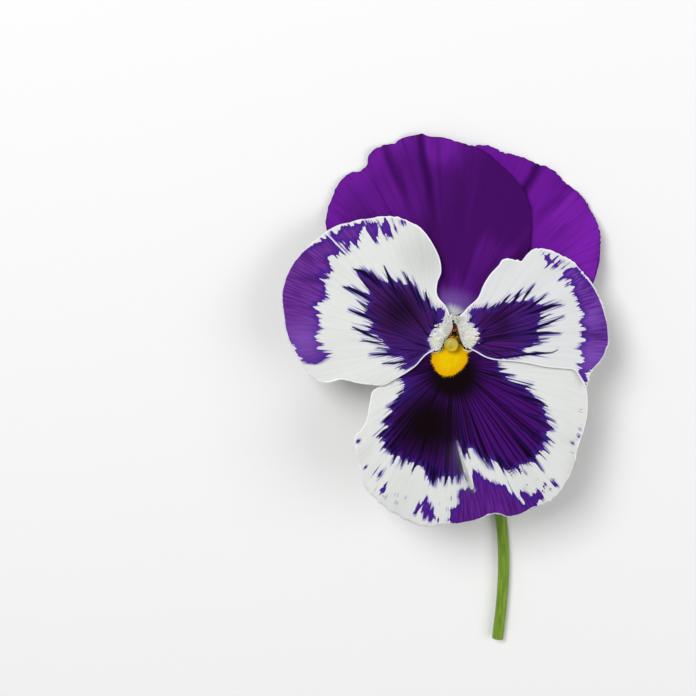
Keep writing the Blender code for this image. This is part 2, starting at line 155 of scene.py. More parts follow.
# A petal: its claw's place on the receptacle in degrees, the way round from side to side, how far the veins
# bow, the grid's cells, the noise's seed, the point that the veins fan out from, and the petal's direction
# from that point in degrees. Its outline: the rim in the throat, one side, the free margin, and the other
# side back to the rim. Its folds: the middle, half width, depth and half length of each.
UPPER_LEFT = {
    "root": 126, "turn": -1, "bow": 1.0, "cells": (210, 110), "seed": 11, "fan": (0.0, 4.0), "aim": 100,
    "rim": [(-2.0, 3.9), (-0.8, 4.4), (0.4, 4.6)],
    "near": [(-3.2, 4.8), (-5.5, 5.6), (-9.4, 7.0), (-14.8, 9.7), (-19.3, 13.3)],
    "far": [
        (-22.0, 17.5), (-22.7, 21.1), (-22.6, 23.6), (-21.7, 26.3), (-20.2, 29.3), (-18.1, 31.0),
        (-16.3, 31.3), (-15.3, 32.3), (-14.9, 33.9), (-14.1, 34.8), (-12.4, 35.8), (-10.2, 36.2),
        (-8.9, 37.1), (-6.7, 37.6), (-5.4, 37.8), (-4.1, 37.3), (-2.2, 37.2), (0.3, 36.6), (3.1, 35.8),
        (5.5, 34.9), (8.3, 32.9), (10.7, 30.5), (12.7, 28.4), (13.9, 26.3), (14.5, 23.6),
    ],
    "back": [(14.5, 19.8), (14.1, 16.7), (12.6, 13.3), (9.5, 10.2), (5.4, 7.4), (2.4, 5.5), (1.1, 4.9)],
    "folds": [((-5.0, 33.0), 0.75, 0.5, 12), ((-10.4, 31.5), 0.8, 0.38, 9), ((-2.2, 31.0), 0.5, 0.2, 10)],
}
# Brighter ovals of the left petal: middle x and y, half width, half height, strength.
UPPER_LEFT_GLOWS = [(-1.5, 35.0, 5.5, 5.5, 0.6), (7.0, 16.5, 6.0, 6.0, 0.4), (-9.0, 25.0, 9.0, 9.0, 0.45)]
UPPER_RIGHT = {
    "root": 54, "turn": -1, "bow": 1.0, "cells": (200, 100), "seed": 12, "fan": (0.0, 4.0), "aim": 60,
    "rim": [(0.9, 4.8), (2.0, 4.1), (2.9, 3.2)],
    "near": [(0.5, 6.2), (-0.9, 9.4), (-2.6, 15.0), (-3.6, 21.2), (-3.4, 27.4)],
    "far": [
        (-1.8, 32.2), (0.9, 35.0), (4.1, 35.7), (5.5, 35.8), (7.6, 35.6), (9.3, 34.6), (12.4, 33.9),
        (15.8, 32.7), (18.6, 31.5), (20.3, 29.9), (22.4, 28.4), (24.5, 26.3), (25.8, 24.2), (26.9, 21.8),
        (27.4, 18.7), (27.2, 15.3),
    ],
    "back": [(26.7, 13.2), (25.6, 10.3), (22.8, 8.1), (18.0, 6.6), (13.0, 5.4), (8.0, 4.3), (4.8, 3.4)],
    "folds": [((14.8, 30.6), 0.8, 0.5, 9), ((20.0, 27.0), 0.7, 0.2, 9)],
}


def smooth_step(value):
    """0 below 0, 1 above 1, and 3v^2 - 2v^3 between."""
    value = np.clip(value, 0.0, 1.0)
    return value * value * (3.0 - 2.0 * value)


def smooth_curve(points):
    """A Catmull-Rom curve through the points: dense points, and the share of its length at each of them."""
    given = np.asarray(points, float)
    given = np.vstack([2 * given[0] - given[1], given, 2 * given[-1] - given[-2]])
    w = np.linspace(0, 1, CURVE_STEPS, endpoint=False)[None, :, None]
    a, b, c, d = (given[start:len(given) - 3 + start, None] for start in range(4))
    cubic = (3 * b - a - 3 * c + d) * w**3
    square = (2 * a - 5 * b + 4 * c - d) * w**2
    spans = 0.5 * (2 * b + (c - a) * w + square + cubic)
    dense = np.vstack([spans.reshape(-1, given.shape[1]), given[-2:-1]])
    length = np.concatenate([[0], np.cumsum(np.linalg.norm(np.diff(dense, axis=0), axis=1))])
    return dense, length / length[-1]


def read_curve(curve, share):
    """The points of a smooth curve at these shares of its length."""
    dense, shares = curve
    return np.stack([np.interp(share, shares, column) for column in dense.T], -1)


def value_noise(u, v, seed):
    """Random values from -1 to 1 at whole numbers of u and v, with smooth steps between them."""
    table = np.random.default_rng(seed).uniform(-1, 1, (NOISE_CELLS, NOISE_CELLS))
    i, j = np.floor(u).astype(int), np.floor(v).astype(int)
    a, b = smooth_step(u - i), smooth_step(v - j)
    i, j, i_next, j_next = (cell % NOISE_CELLS for cell in (i, j, i + 1, j + 1))
    low = table[i, j] * (1 - a) + table[i_next, j] * a
    high = table[i, j_next] * (1 - a) + table[i_next, j_next] * a
    return low * (1 - b) + high * b


def outline_of(petal):
    return [petal["rim"][0], *petal["near"], *petal["far"], *petal["back"], petal["rim"][-1]]


def limb(petal, across, along):
    """Coons patch between the throat's rim, the near side, the far margin and the back side: the sum of the
    two ruled surfaces less the bilinear one, then moved sideways to bow the veins. Returns x, y and reach,
    the distance from the rim."""
    rim, edge = smooth_curve(petal["rim"]), smooth_curve(outline_of(petal))
    first = 1 + len(petal["near"])
    last = first + len(petal["far"]) - 1
    shoulder_a, shoulder_b = edge[1][CURVE_STEPS * first], edge[1][CURVE_STEPS * last]
    s, t = across[..., None], along[..., None]
    bottom = read_curve(rim, across)
    top = read_curve(edge, shoulder_a + (shoulder_b - shoulder_a) * across)
    side_a = read_curve(edge, shoulder_a * along)
    side_b = read_curve(edge, 1 - (1 - shoulder_b) * along)
    low_a, low_b = rim[0][0], rim[0][-1]
    high_a, high_b = read_curve(edge, shoulder_a), read_curve(edge, shoulder_b)
    plane = (1 - t) * ((1 - s) * low_a + s * low_b) + t * ((1 - s) * high_a + s * high_b)
    flat = (1 - t) * bottom + t * top + (1 - s) * side_a + s * side_b - plane
    sideways = (high_b - high_a) / np.linalg.norm(high_b - high_a)
    fan = (1 - 2 * s) * smooth_step(s / 0.3) * smooth_step((1 - s) / 0.3)
    flat = flat + petal["bow"] * 4 * t * (1 - t) * fan * sideways
    return flat[..., 0], flat[..., 1], np.linalg.norm(flat - bottom, axis=-1)


def petal_grid(petal, depth):
    """The petal's middle surface over a square grid. Its first rows are the claw, which sinks from the rim to
    the ring of claws on the receptacle, moving outwards as 1 - (1 - down)^CLAW_POWER, and bulges to the lip.
    The rest are the limb, whose margin is finely ruffled."""
    columns, rows = petal["cells"]
    across, up = np.meshgrid(np.linspace(0, 1, columns + 1), np.linspace(0, 1, rows + 1) ** ROW_POWER)
    down = np.clip(1 - up / CLAW_SHARE, 0, 1)
    along = np.clip((up - CLAW_SHARE) / (1 - CLAW_SHARE), 0, 1) ** LIMB_POWER
    x, y, reach = limb(petal, across, along)
    z = depth(across, along, x, y, reach)
    ruffle = RUFFLE * along**RUFFLE_POWER * value_noise(across * RUFFLE_CELLS, 0 * along, petal["seed"] + 3)
    from_axis = np.hypot(x - AXIS[0], y - AXIS[1])
    x, y = x + ruffle * (x - AXIS[0]) / from_axis, y + ruffle * (y - AXIS[1]) / from_axis
    angle = np.radians(petal["root"] + petal["turn"] * CLAW_HALF_ANGLE * (2 * across - 1))
    outward = 1 - (1 - down) ** CLAW_POWER
    x = x + (AXIS[0] + CLAW_RING * np.cos(angle) - x) * outward
    y = y + (AXIS[1] + CLAW_RING * np.sin(angle) - y) * outward
    y = y + petal.get("lip", 0.0) * np.sin(np.pi * np.sqrt(down)) * (1 - (2 * across - 1) ** 4)
    z = z + (CLAW_FOOT - z) * down
    return {"x": x, "y": y, "along": along, "down": down, "reach": reach, "middle": np.stack([x, y, z], -1)}


def fan_of(petal, x, y):
    """The vein coordinate: the angle round the petal's fan point, in units of VEIN_DEGREES, with 50 along the
    petal's middle. Also the distance from the fan point."""
    side, up = x - petal["fan"][0], y - petal["fan"][1]
    turn = (np.degrees(np.arctan2(up, side)) - petal["aim"] + 180) % 360 - 180
    return 50 + turn / VEIN_DEGREES, np.hypot(side, up)


def fold_shares(grid, petal):
    """How deep in each fold every point is, 0 to 1: a bell across the vein through the fold's middle, that
    wanders a little, and fades over the fold's half length. Returns one array for each fold."""
    vein, radius = fan_of(petal, grid["x"], grid["y"])
    shares = []
    for place, width, _, length in petal["folds"]:
        middle_vein, middle_radius = fan_of(petal, *place)
        wander = 0.5 * value_noise(radius * 0.2, np.full_like(radius, middle_radius), petal["seed"])
        sideways = np.radians((vein - middle_vein) * VEIN_DEGREES) * radius / width + wander
        shares.append(np.exp(-sideways**2) * smooth_step(1.3 - np.abs(radius - middle_radius) / length))
    return shares


def relief(grid, petal):
    """Height out of the sheet: veins as noise over the vein coordinate and the distance from the fan point,
    less the folds."""
    reach, along, seed = grid["reach"], grid["along"], petal["seed"]
    vein, radius = fan_of(petal, grid["x"], grid["y"])
    spread = smooth_step((radius - 1) / 6) * smooth_step(reach / 6)
    height = 0.035 * spread * value_noise(vein * 1.1, radius * 0.12, seed)
    height += 0.07 * spread * value_noise(vein * 0.4, radius * 0.08, seed + 1)
    height += 0.08 * along**5 * value_noise(vein * 0.6, radius * 0.2, seed + 2)
    for share, (_, _, depth, _) in zip(fold_shares(grid, petal), petal["folds"]):
        height -= depth * share
    return height


def distance_to(x, y, points):
    """The least distance from each place to an open line through the points."""
    nearest = np.full(x.shape, np.inf)
    for (ax, ay), (bx, by) in zip(points[:-1], points[1:]):
        dx, dy = bx - ax, by - ay
        share = np.clip(((x - ax) * dx + (y - ay) * dy) / (dx * dx + dy * dy + 1e-12), 0, 1)
        nearest = np.minimum(nearest, np.hypot(x - ax - share * dx, y - ay - share * dy))
    return nearest


def sheet_arrays(middle, half, height):
    """Front and back faces, half a thickness either side of the middle surface along its normal, and a wall
    of faces round the rim. The normal is the cross product of the grid's two slopes, averaged with its
    neighbours so that the pinched corners have one too."""
    normal = np.cross(np.gradient(middle, axis=1), np.gradient(middle, axis=0))
    for _ in range(3):
        wide = np.pad(normal, ((1, 1), (1, 1), (0, 0)), mode="edge")
        normal = (wide[:-2, 1:-1] + wide[2:, 1:-1] + wide[1:-1, :-2] + wide[1:-1, 2:] + wide[1:-1, 1:-1]) / 5
    normal /= np.linalg.norm(normal, axis=-1, keepdims=True)
    turn = np.sign(normal[len(normal) // 2:, :, 2].mean())
    normal *= turn
    rows, columns = middle.shape[:2]
    number = np.arange(rows * columns).reshape(rows, columns)
    front = np.stack([number[:-1, :-1], number[:-1, 1:], number[1:, 1:], number[1:, :-1]], -1).reshape(-1, 4)
    back = front[:, ::-1] + rows * columns
    rim = np.concatenate([number[0, :-1], number[:-1, -1], number[-1, :0:-1], number[:0:-1, 0]])
    ahead = np.roll(rim, -1)
    wall = np.stack([ahead, rim, rim + rows * columns, ahead + rows * columns], -1)
    faces = np.vstack([front, back, wall])
    surface = middle + normal * height[..., None]
    points = np.concatenate([surface + normal * half[..., None], surface - normal * half[..., None]])
    return points.reshape(-1, 3), faces if turn > 0 else faces[:, ::-1]


def add_piece(name, points, faces, material, marks=None):
    """A mesh object at the origin, from places in metres and faces of four corners, with one value for each
    point in each named attribute. It rides on the flower's one body."""
    mesh = bpy.data.meshes.new(name)
    mesh.from_pydata(points, [], faces)
    for key, values in (marks or {}).items():
        mesh.attributes.new(key, "FLOAT", "POINT").data.foreach_set("value", np.float32(values))
    mesh.materials.append(material)
    mesh.shade_smooth()
    obj = bpy.data.objects.new(name, mesh)
    bpy.context.scene.collection.objects.link(obj)
    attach(obj, "root")
    return obj


def sheet_marks(grid, petal, **marks):
    """The attributes that every petal's material reads, for the front and then the back of its sheet."""
    x, y = grid["x"], grid["y"]
    dense = smooth_curve(outline_of(petal))[0]
    marks["vein"] = fan_of(petal, x, y)[0]
    marks["reach"] = grid["reach"]
    marks["claw"] = grid["down"]
    marks["margin"] = np.where(grid["down"] > 0, FAR_FROM_MARGIN, distance_to(x, y, dense[::5]))
    both = {key: np.concatenate([values.ravel(), values.ravel()]) for key, values in marks.items()}
    both["front"] = np.repeat([1.0, 0.0], x.size)
    return both


def half_thickness(margin):
    """Even, and rounded off to a thin lip over the last LIP_MM before the margin."""
    return PETAL_HALF_THICKNESS * (0.25 + 0.75 * np.sqrt(1 - (1 - np.clip(margin / LIP_MM, 0, 1)) ** 2))


def colour(text):
    """A screen colour, as #rrggbb, in the linear light that shaders use."""
    share = np.array([int(text[i:i + 2], 16) for i in (1, 3, 5)]) / 255
    linear = np.where(share > 0.04045, ((share + 0.055) / 1.055) ** 2.4, share / 12.92)
    return (*linear, 1.0)


class Paint:
    """A material and short calls that add its nodes. A value is a socket or a constant."""

    def __init__(self, name, roughness):
        self.material = bpy.data.materials.new(name)
        self.material.use_nodes = True
        self.tree = self.material.node_tree
        self.shader = self.tree.nodes["Principled BSDF"]
        self.shader.inputs["Roughness"].default_value = roughness

    def put(self, socket, value):
        if isinstance(value, bpy.types.NodeSocket):
            self.tree.links.new(value, socket)
        else:
            socket.default_value = value

    def mark(self, name):
        """One of the piece's attributes."""
        node = self.tree.nodes.new("ShaderNodeAttribute")
        node.attribute_name = name
        return node.outputs["Fac"]

    def maths(self, operation, *values):
        node = self.tree.nodes.new("ShaderNodeMath")
        node.operation = operation
        for socket, value in zip(node.inputs, values):
            self.put(socket, value)
        return node.outputs[0]

    def ramp(self, value, low, high, out_low=0.0, out_high=1.0):
        """A smooth step from out_low at low to out_high at high."""
        node = self.tree.nodes.new("ShaderNodeMapRange")
        node.interpolation_type = "SMOOTHSTEP"
        for name, entry in zip(("Value", "From Min", "From Max", "To Min", "To Max"),
                               (value, low, high, out_low, out_high)):
            self.put(node.inputs[name], entry)
        return node.outputs[0]

    def shifted(self, value, noise, amount):
        """value + amount * (noise - 0.5)"""
        return self.maths("ADD", value, self.maths("MULTIPLY", self.maths("SUBTRACT", noise, 0.5), amount))

    def from_middle(self, noise):
        """How far the noise is from 0.5, so that low values are thin lines."""
        return self.maths("ABSOLUTE", self.maths("SUBTRACT", noise, 0.5))

    def mix(self, share, first, second):
        node = self.tree.nodes.new("ShaderNodeMix")
        node.data_type = "RGBA"
        self.put(node.inputs[0], share)
        self.put(node.inputs[6], colour(first) if isinstance(first, str) else first)
        self.put(node.inputs[7], colour(second) if isinstance(second, str) else second)
        return node.outputs[2]

    def lay(self, base, tone, value, low, high, most=1.0):
        """The base with a tone over it: none of the tone at the low value, the most of it at the high one."""
        return self.mix(self.ramp(value, low, high, 0.0, most), base, tone)

    def streaks(self, x, y, x_scale, y_scale, detail=2.0, seed=0.0):
        """Noise from 0 to 1, stretched over two coordinates."""
        place = self.tree.nodes.new("ShaderNodeCombineXYZ")
        self.put(place.inputs[0], self.maths("MULTIPLY", x, x_scale))
        self.put(place.inputs[1], self.maths("MULTIPLY", y, y_scale))
        place.inputs[2].default_value = seed
        return self.noise(place.outputs[0], 1.0, detail)

    def noise(self, place, scale, detail=2.0):
        node = self.tree.nodes.new("ShaderNodeTexNoise")
        self.put(node.inputs["Vector"], place)
        node.inputs["Scale"].default_value = scale
        node.inputs["Detail"].default_value = detail
        return node.outputs["Fac"]

    def object_place(self):
        return self.tree.nodes.new("ShaderNodeTexCoord").outputs["Object"]

    def bump(self, height, distance, strength=1.0):
        node = self.tree.nodes.new("ShaderNodeBump")
        node.inputs["Distance"].default_value = distance
        node.inputs["Strength"].default_value = strength
        self.put(node.inputs["Height"], height)
        self.put(self.shader.inputs["Normal"], node.outputs[0])

    def velvet(self, veins, share, distance):
        """Bump from the veins and a fine grain all over."""
        grain = self.noise(self.object_place(), 5200.0, 1.0)
        height = self.maths("ADD", self.maths("MULTIPLY", veins, 0.8), self.maths("MULTIPLY", grain, share))
        self.bump(height, distance)

    def finish(self, base, **sockets):
        self.put(self.shader.inputs["Base Color"], base)
        for name, value in sockets.items():
            self.shader.inputs[name.replace("_", " ")].default_value = value
        return self.material


def upper_bend(x, y):
    """The barrel shape that the two upper petals share: -amount * side^2, growing from 6 mm up."""
    side = (x - 2.0) / 19.0
    amount = np.where(side < 0, UPPER_BEND_LEFT, UPPER_BEND_RIGHT)
    return -amount * side**2 * smooth_step((y - 6) / 24)


def upper_left_depth(across, along, x, y, reach):
    """The shared barrel, and six waves that grow to the margin as along^3."""
    waves = 0.45 * smooth_step((-x - 2) / 6) * along**3 * np.sin(2 * np.pi * 6 * across)
    return UPPER_LEFT_RIM + upper_bend(x, y) + waves


def upper_right_depth(across, along, x, y, reach):
    """The shared barrel, 1.2 mm further back, waved where it shows."""
    waves = 0.45 * smooth_step((x - 12) / 6) * along**3 * np.sin(2 * np.pi * 6 * across)
    return UPPER_RIGHT_RIM + upper_bend(x, y) + waves


def upper_paint(name, deep, middle, bright, seed):
    """Velvet purple: deep in the middle, bright where the glow mark is high, with faint radial streaks, thin
    dark veins, painted shade in the folds, a dark lip and a pale base. The glow is partly painted sheen
    where the margins curve away and partly the petal's own lighter tone. The back is duller."""
    paint = Paint(name, 0.7)
    vein, reach, margin = paint.mark("vein"), paint.mark("reach"), paint.mark("margin")
    broad = paint.streaks(vein, reach, 0.16, 0.05, 2.0, seed)
    fine = paint.streaks(vein, reach, 1.3, 0.10, 3.0, seed + 5)
    lines = paint.streaks(vein, reach, 0.55, 0.03, 0.0, seed + 9)
    # Partly painted sheen: the glow mark lightens the velvet, most at the margins that curve away; the rest is
    # the petal's own lighter tone.
    glow = paint.shifted(paint.mark("glow"), broad, 1.05)
    base = paint.mix(paint.ramp(glow, 0.0, 0.55), deep, middle)
    base = paint.lay(base, bright, glow, 0.45, 1.0)
    base = paint.lay(base, deep, fine, 0.45, 0.75, 0.42)
    base = paint.lay(base, "#35054e", paint.from_middle(lines), 0.025, 0.0, 0.35)
    # Painted shade: darker purple down the middle of each fold.
    base = paint.mix(paint.mark("fold"), base, "#2a0340")
    edge = paint.maths("ADD", margin, paint.maths("MULTIPLY", fine, 0.3))
    base = paint.lay(base, "#2c0440", edge, 0.34, 0.16, 0.75)
    pale = paint.shifted(reach, fine, -2.2)
    base = paint.lay(base, "#6d4c9a", pale, 6.4, 2.6, 0.95)
    base = paint.lay(base, "#c6c7cc", pale, 2.9, 1.2)
    base = paint.lay(base, "#c3c9a8", paint.mark("claw"), 0.05, 0.5)
    behind = paint.mix(0.35, base, "#7a5a98")
    base = paint.mix(paint.mark("front"), behind, base)
    paint.velvet(fine, 0.35, 0.00005)
    return paint.finish(base, Specular_IOR_Level=0.03)


def upper_marks(grid, petal, glow):
    """The brightness of the velvet, partly painted sheen, and the painted shade of the folds, from how deep in
    a fold each point is.
    """
    shares = fold_shares(grid, petal)
    dark = [FOLD_SHADE_DARKNESS * depth * share for share, (_, _, depth, _) in zip(shares, petal["folds"])]
    return sheet_marks(grid, petal, glow=glow, fold=np.max(dark, axis=0))


def petal_arrays(petal, depth, marks_of, relief_of=relief):
    """The grid, its relief and its thickness, as one closed sheet: points, faces and marks."""
    grid = petal_grid(petal, depth)
    marks = marks_of(grid)
    margin = marks["margin"][:grid["reach"].size].reshape(grid["reach"].shape)
    points, faces = sheet_arrays(grid["middle"], half_thickness(margin), relief_of(grid, petal))
    return points, faces, marks


def make_petal(name, petal, depth, material, marks_of):
    """The closed sheet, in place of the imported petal."""
    points, faces, marks = petal_arrays(petal, depth, marks_of)
    piece = add_piece(name + "_limb", stand(points), faces, material, marks)
    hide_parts(name)
    return piece


def ovals(x, y, spots):
    """One array for each soft oval: its strength at its middle, fading smoothly to 0 at its half sizes."""
    return np.array([
        strength * smooth_step(1 - np.hypot((x - middle_x) / wide, (y - middle_y) / tall))
        for middle_x, middle_y, wide, tall, strength in spots])


def upper_left_marks(grid):
    x, y = grid["x"], grid["y"]
    margin = distance_to(x, y, smooth_curve(outline_of(UPPER_LEFT))[0][::5])
    # Partly painted sheen: lighter near the margin and to the left, where the petal curves away, plus lighter
    # patches of its own.
    glow = 0.85 * np.exp(-margin / 5) * smooth_step((9 - x) / 14) + 0.3 * smooth_step((-x - 6) / 12)
    glow += 0.3 * smooth_step((16 - y) / 8) * smooth_step((x + 4) / 6)
    glow += ovals(x, y, UPPER_LEFT_GLOWS).sum(0)
    return upper_marks(grid, UPPER_LEFT, glow)


def upper_right_marks(grid):
    x, y = grid["x"], grid["y"]
    glow = 0.55 + 0.35 * smooth_step((x - 16) / 8) * smooth_step((30 - y) / 8)
    return upper_marks(grid, UPPER_RIGHT, glow)


left_velvet = upper_paint("left upper petal velvet", "#400a5b", "#531277", "#691a93", 1.0)
right_velvet = upper_paint("right upper petal velvet", "#55107b", "#671690", "#751fa2", 31.0)
upper_right = make_petal("petal_upper_right", UPPER_RIGHT, upper_right_depth, right_velvet, upper_right_marks)
upper_left = make_petal("petal_upper_left", UPPER_LEFT, upper_left_depth, left_velvet, upper_left_marks)


# Side petals
# Two white petals in front of the upper pair. Each has a blotch of dark violet flames that run out along its
# veins from the throat, and a purple band inside the margin. Both are pigment in the sheet, not relief.

SIDE_RIM = -1.5
SIDE_LEFT = {
    "root": 198, "turn": 1, "bow": 3.0, "cells": (290, 160), "seed": 21, "fan": (-2.8, -0.8), "aim": 165,
    "folds": [((-25.6, 11.3), 0.9, 0.22, 5), ((-8.0, 19.0), 0.6, 0.12, 7), ((-5.5, 15.0), 0.5, 0.12, 6)],
    "rim": [(-0.25, 4.0), (0.1, 2.7), (-0.8, 0.9), (-1.7, -0.4), (-2.2, -1.0)],
    "near": [(-0.5, 5.2), (-1.1, 6.5), (-2.6, 8.4), (-2.6, 10.6), (-1.9, 12.9), (-2.6, 16.1)],
    "far": [
        (-5.2, 20.1), (-8.7, 22.2), (-11.3, 22.7), (-15.7, 22.3), (-20.5, 21.1), (-24.4, 18.7), (-28.8, 14.4),
        (-30.7, 9.4), (-30.5, 5.2), (-29.6, 0.6), (-26.8, -4.4), (-24.7, -6.8), (-22.7, -7.3), (-20.1, -6.8),
        (-16.8, -7.4), (-12.6, -7.8),
    ],
    "back": [(-10.0, -6.6), (-6.8, -4.6), (-4.8, -2.5), (-3.2, -1.5)],
}
SIDE_RIGHT = {
    "root": 342, "turn": -1, "bow": 6.0, "cells": (290, 150), "seed": 22, "fan": (2.4, 0.2), "aim": 15,
    "folds": [((26.4, 1.5), 0.8, 0.22, 5), ((8.6, 10.5), 0.6, 0.14, 5), ((13.0, 12.0), 0.7, 0.12, 5)],
    "rim": [(0.85, 3.75), (1.15, 2.8), (1.5, 1.5), (1.85, 0.3), (2.4, -0.8)],
    "near": [(1.4, 4.7), (2.1, 5.4), (3.0, 6.4), (4.7, 8.0), (5.7, 10.3), (6.9, 12.2), (8.4, 13.8)],
    "far": [
        (9.1, 14.8), (10.2, 15.0), (11.7, 14.8), (12.7, 14.7), (13.9, 16.1), (15.3, 16.9), (17.9, 16.5),
        (19.8, 15.7), (21.6, 14.8), (23.3, 13.2), (25.7, 10.1), (27.8, 5.6), (28.6, 1.0), (27.9, -1.7),
        (27.0, -3.5), (25.2, -5.6), (24.4, -8.2),
    ],
    "back": [
        (23.3, -6.6), (22.1, -5.1), (20.0, -4.8), (17.0, -4.5), (14.0, -3.9), (11.2, -3.5), (8.1, -3.3),
        (6.1, -2.8), (4.3, -1.8), (3.0, -1.1),
    ],
}
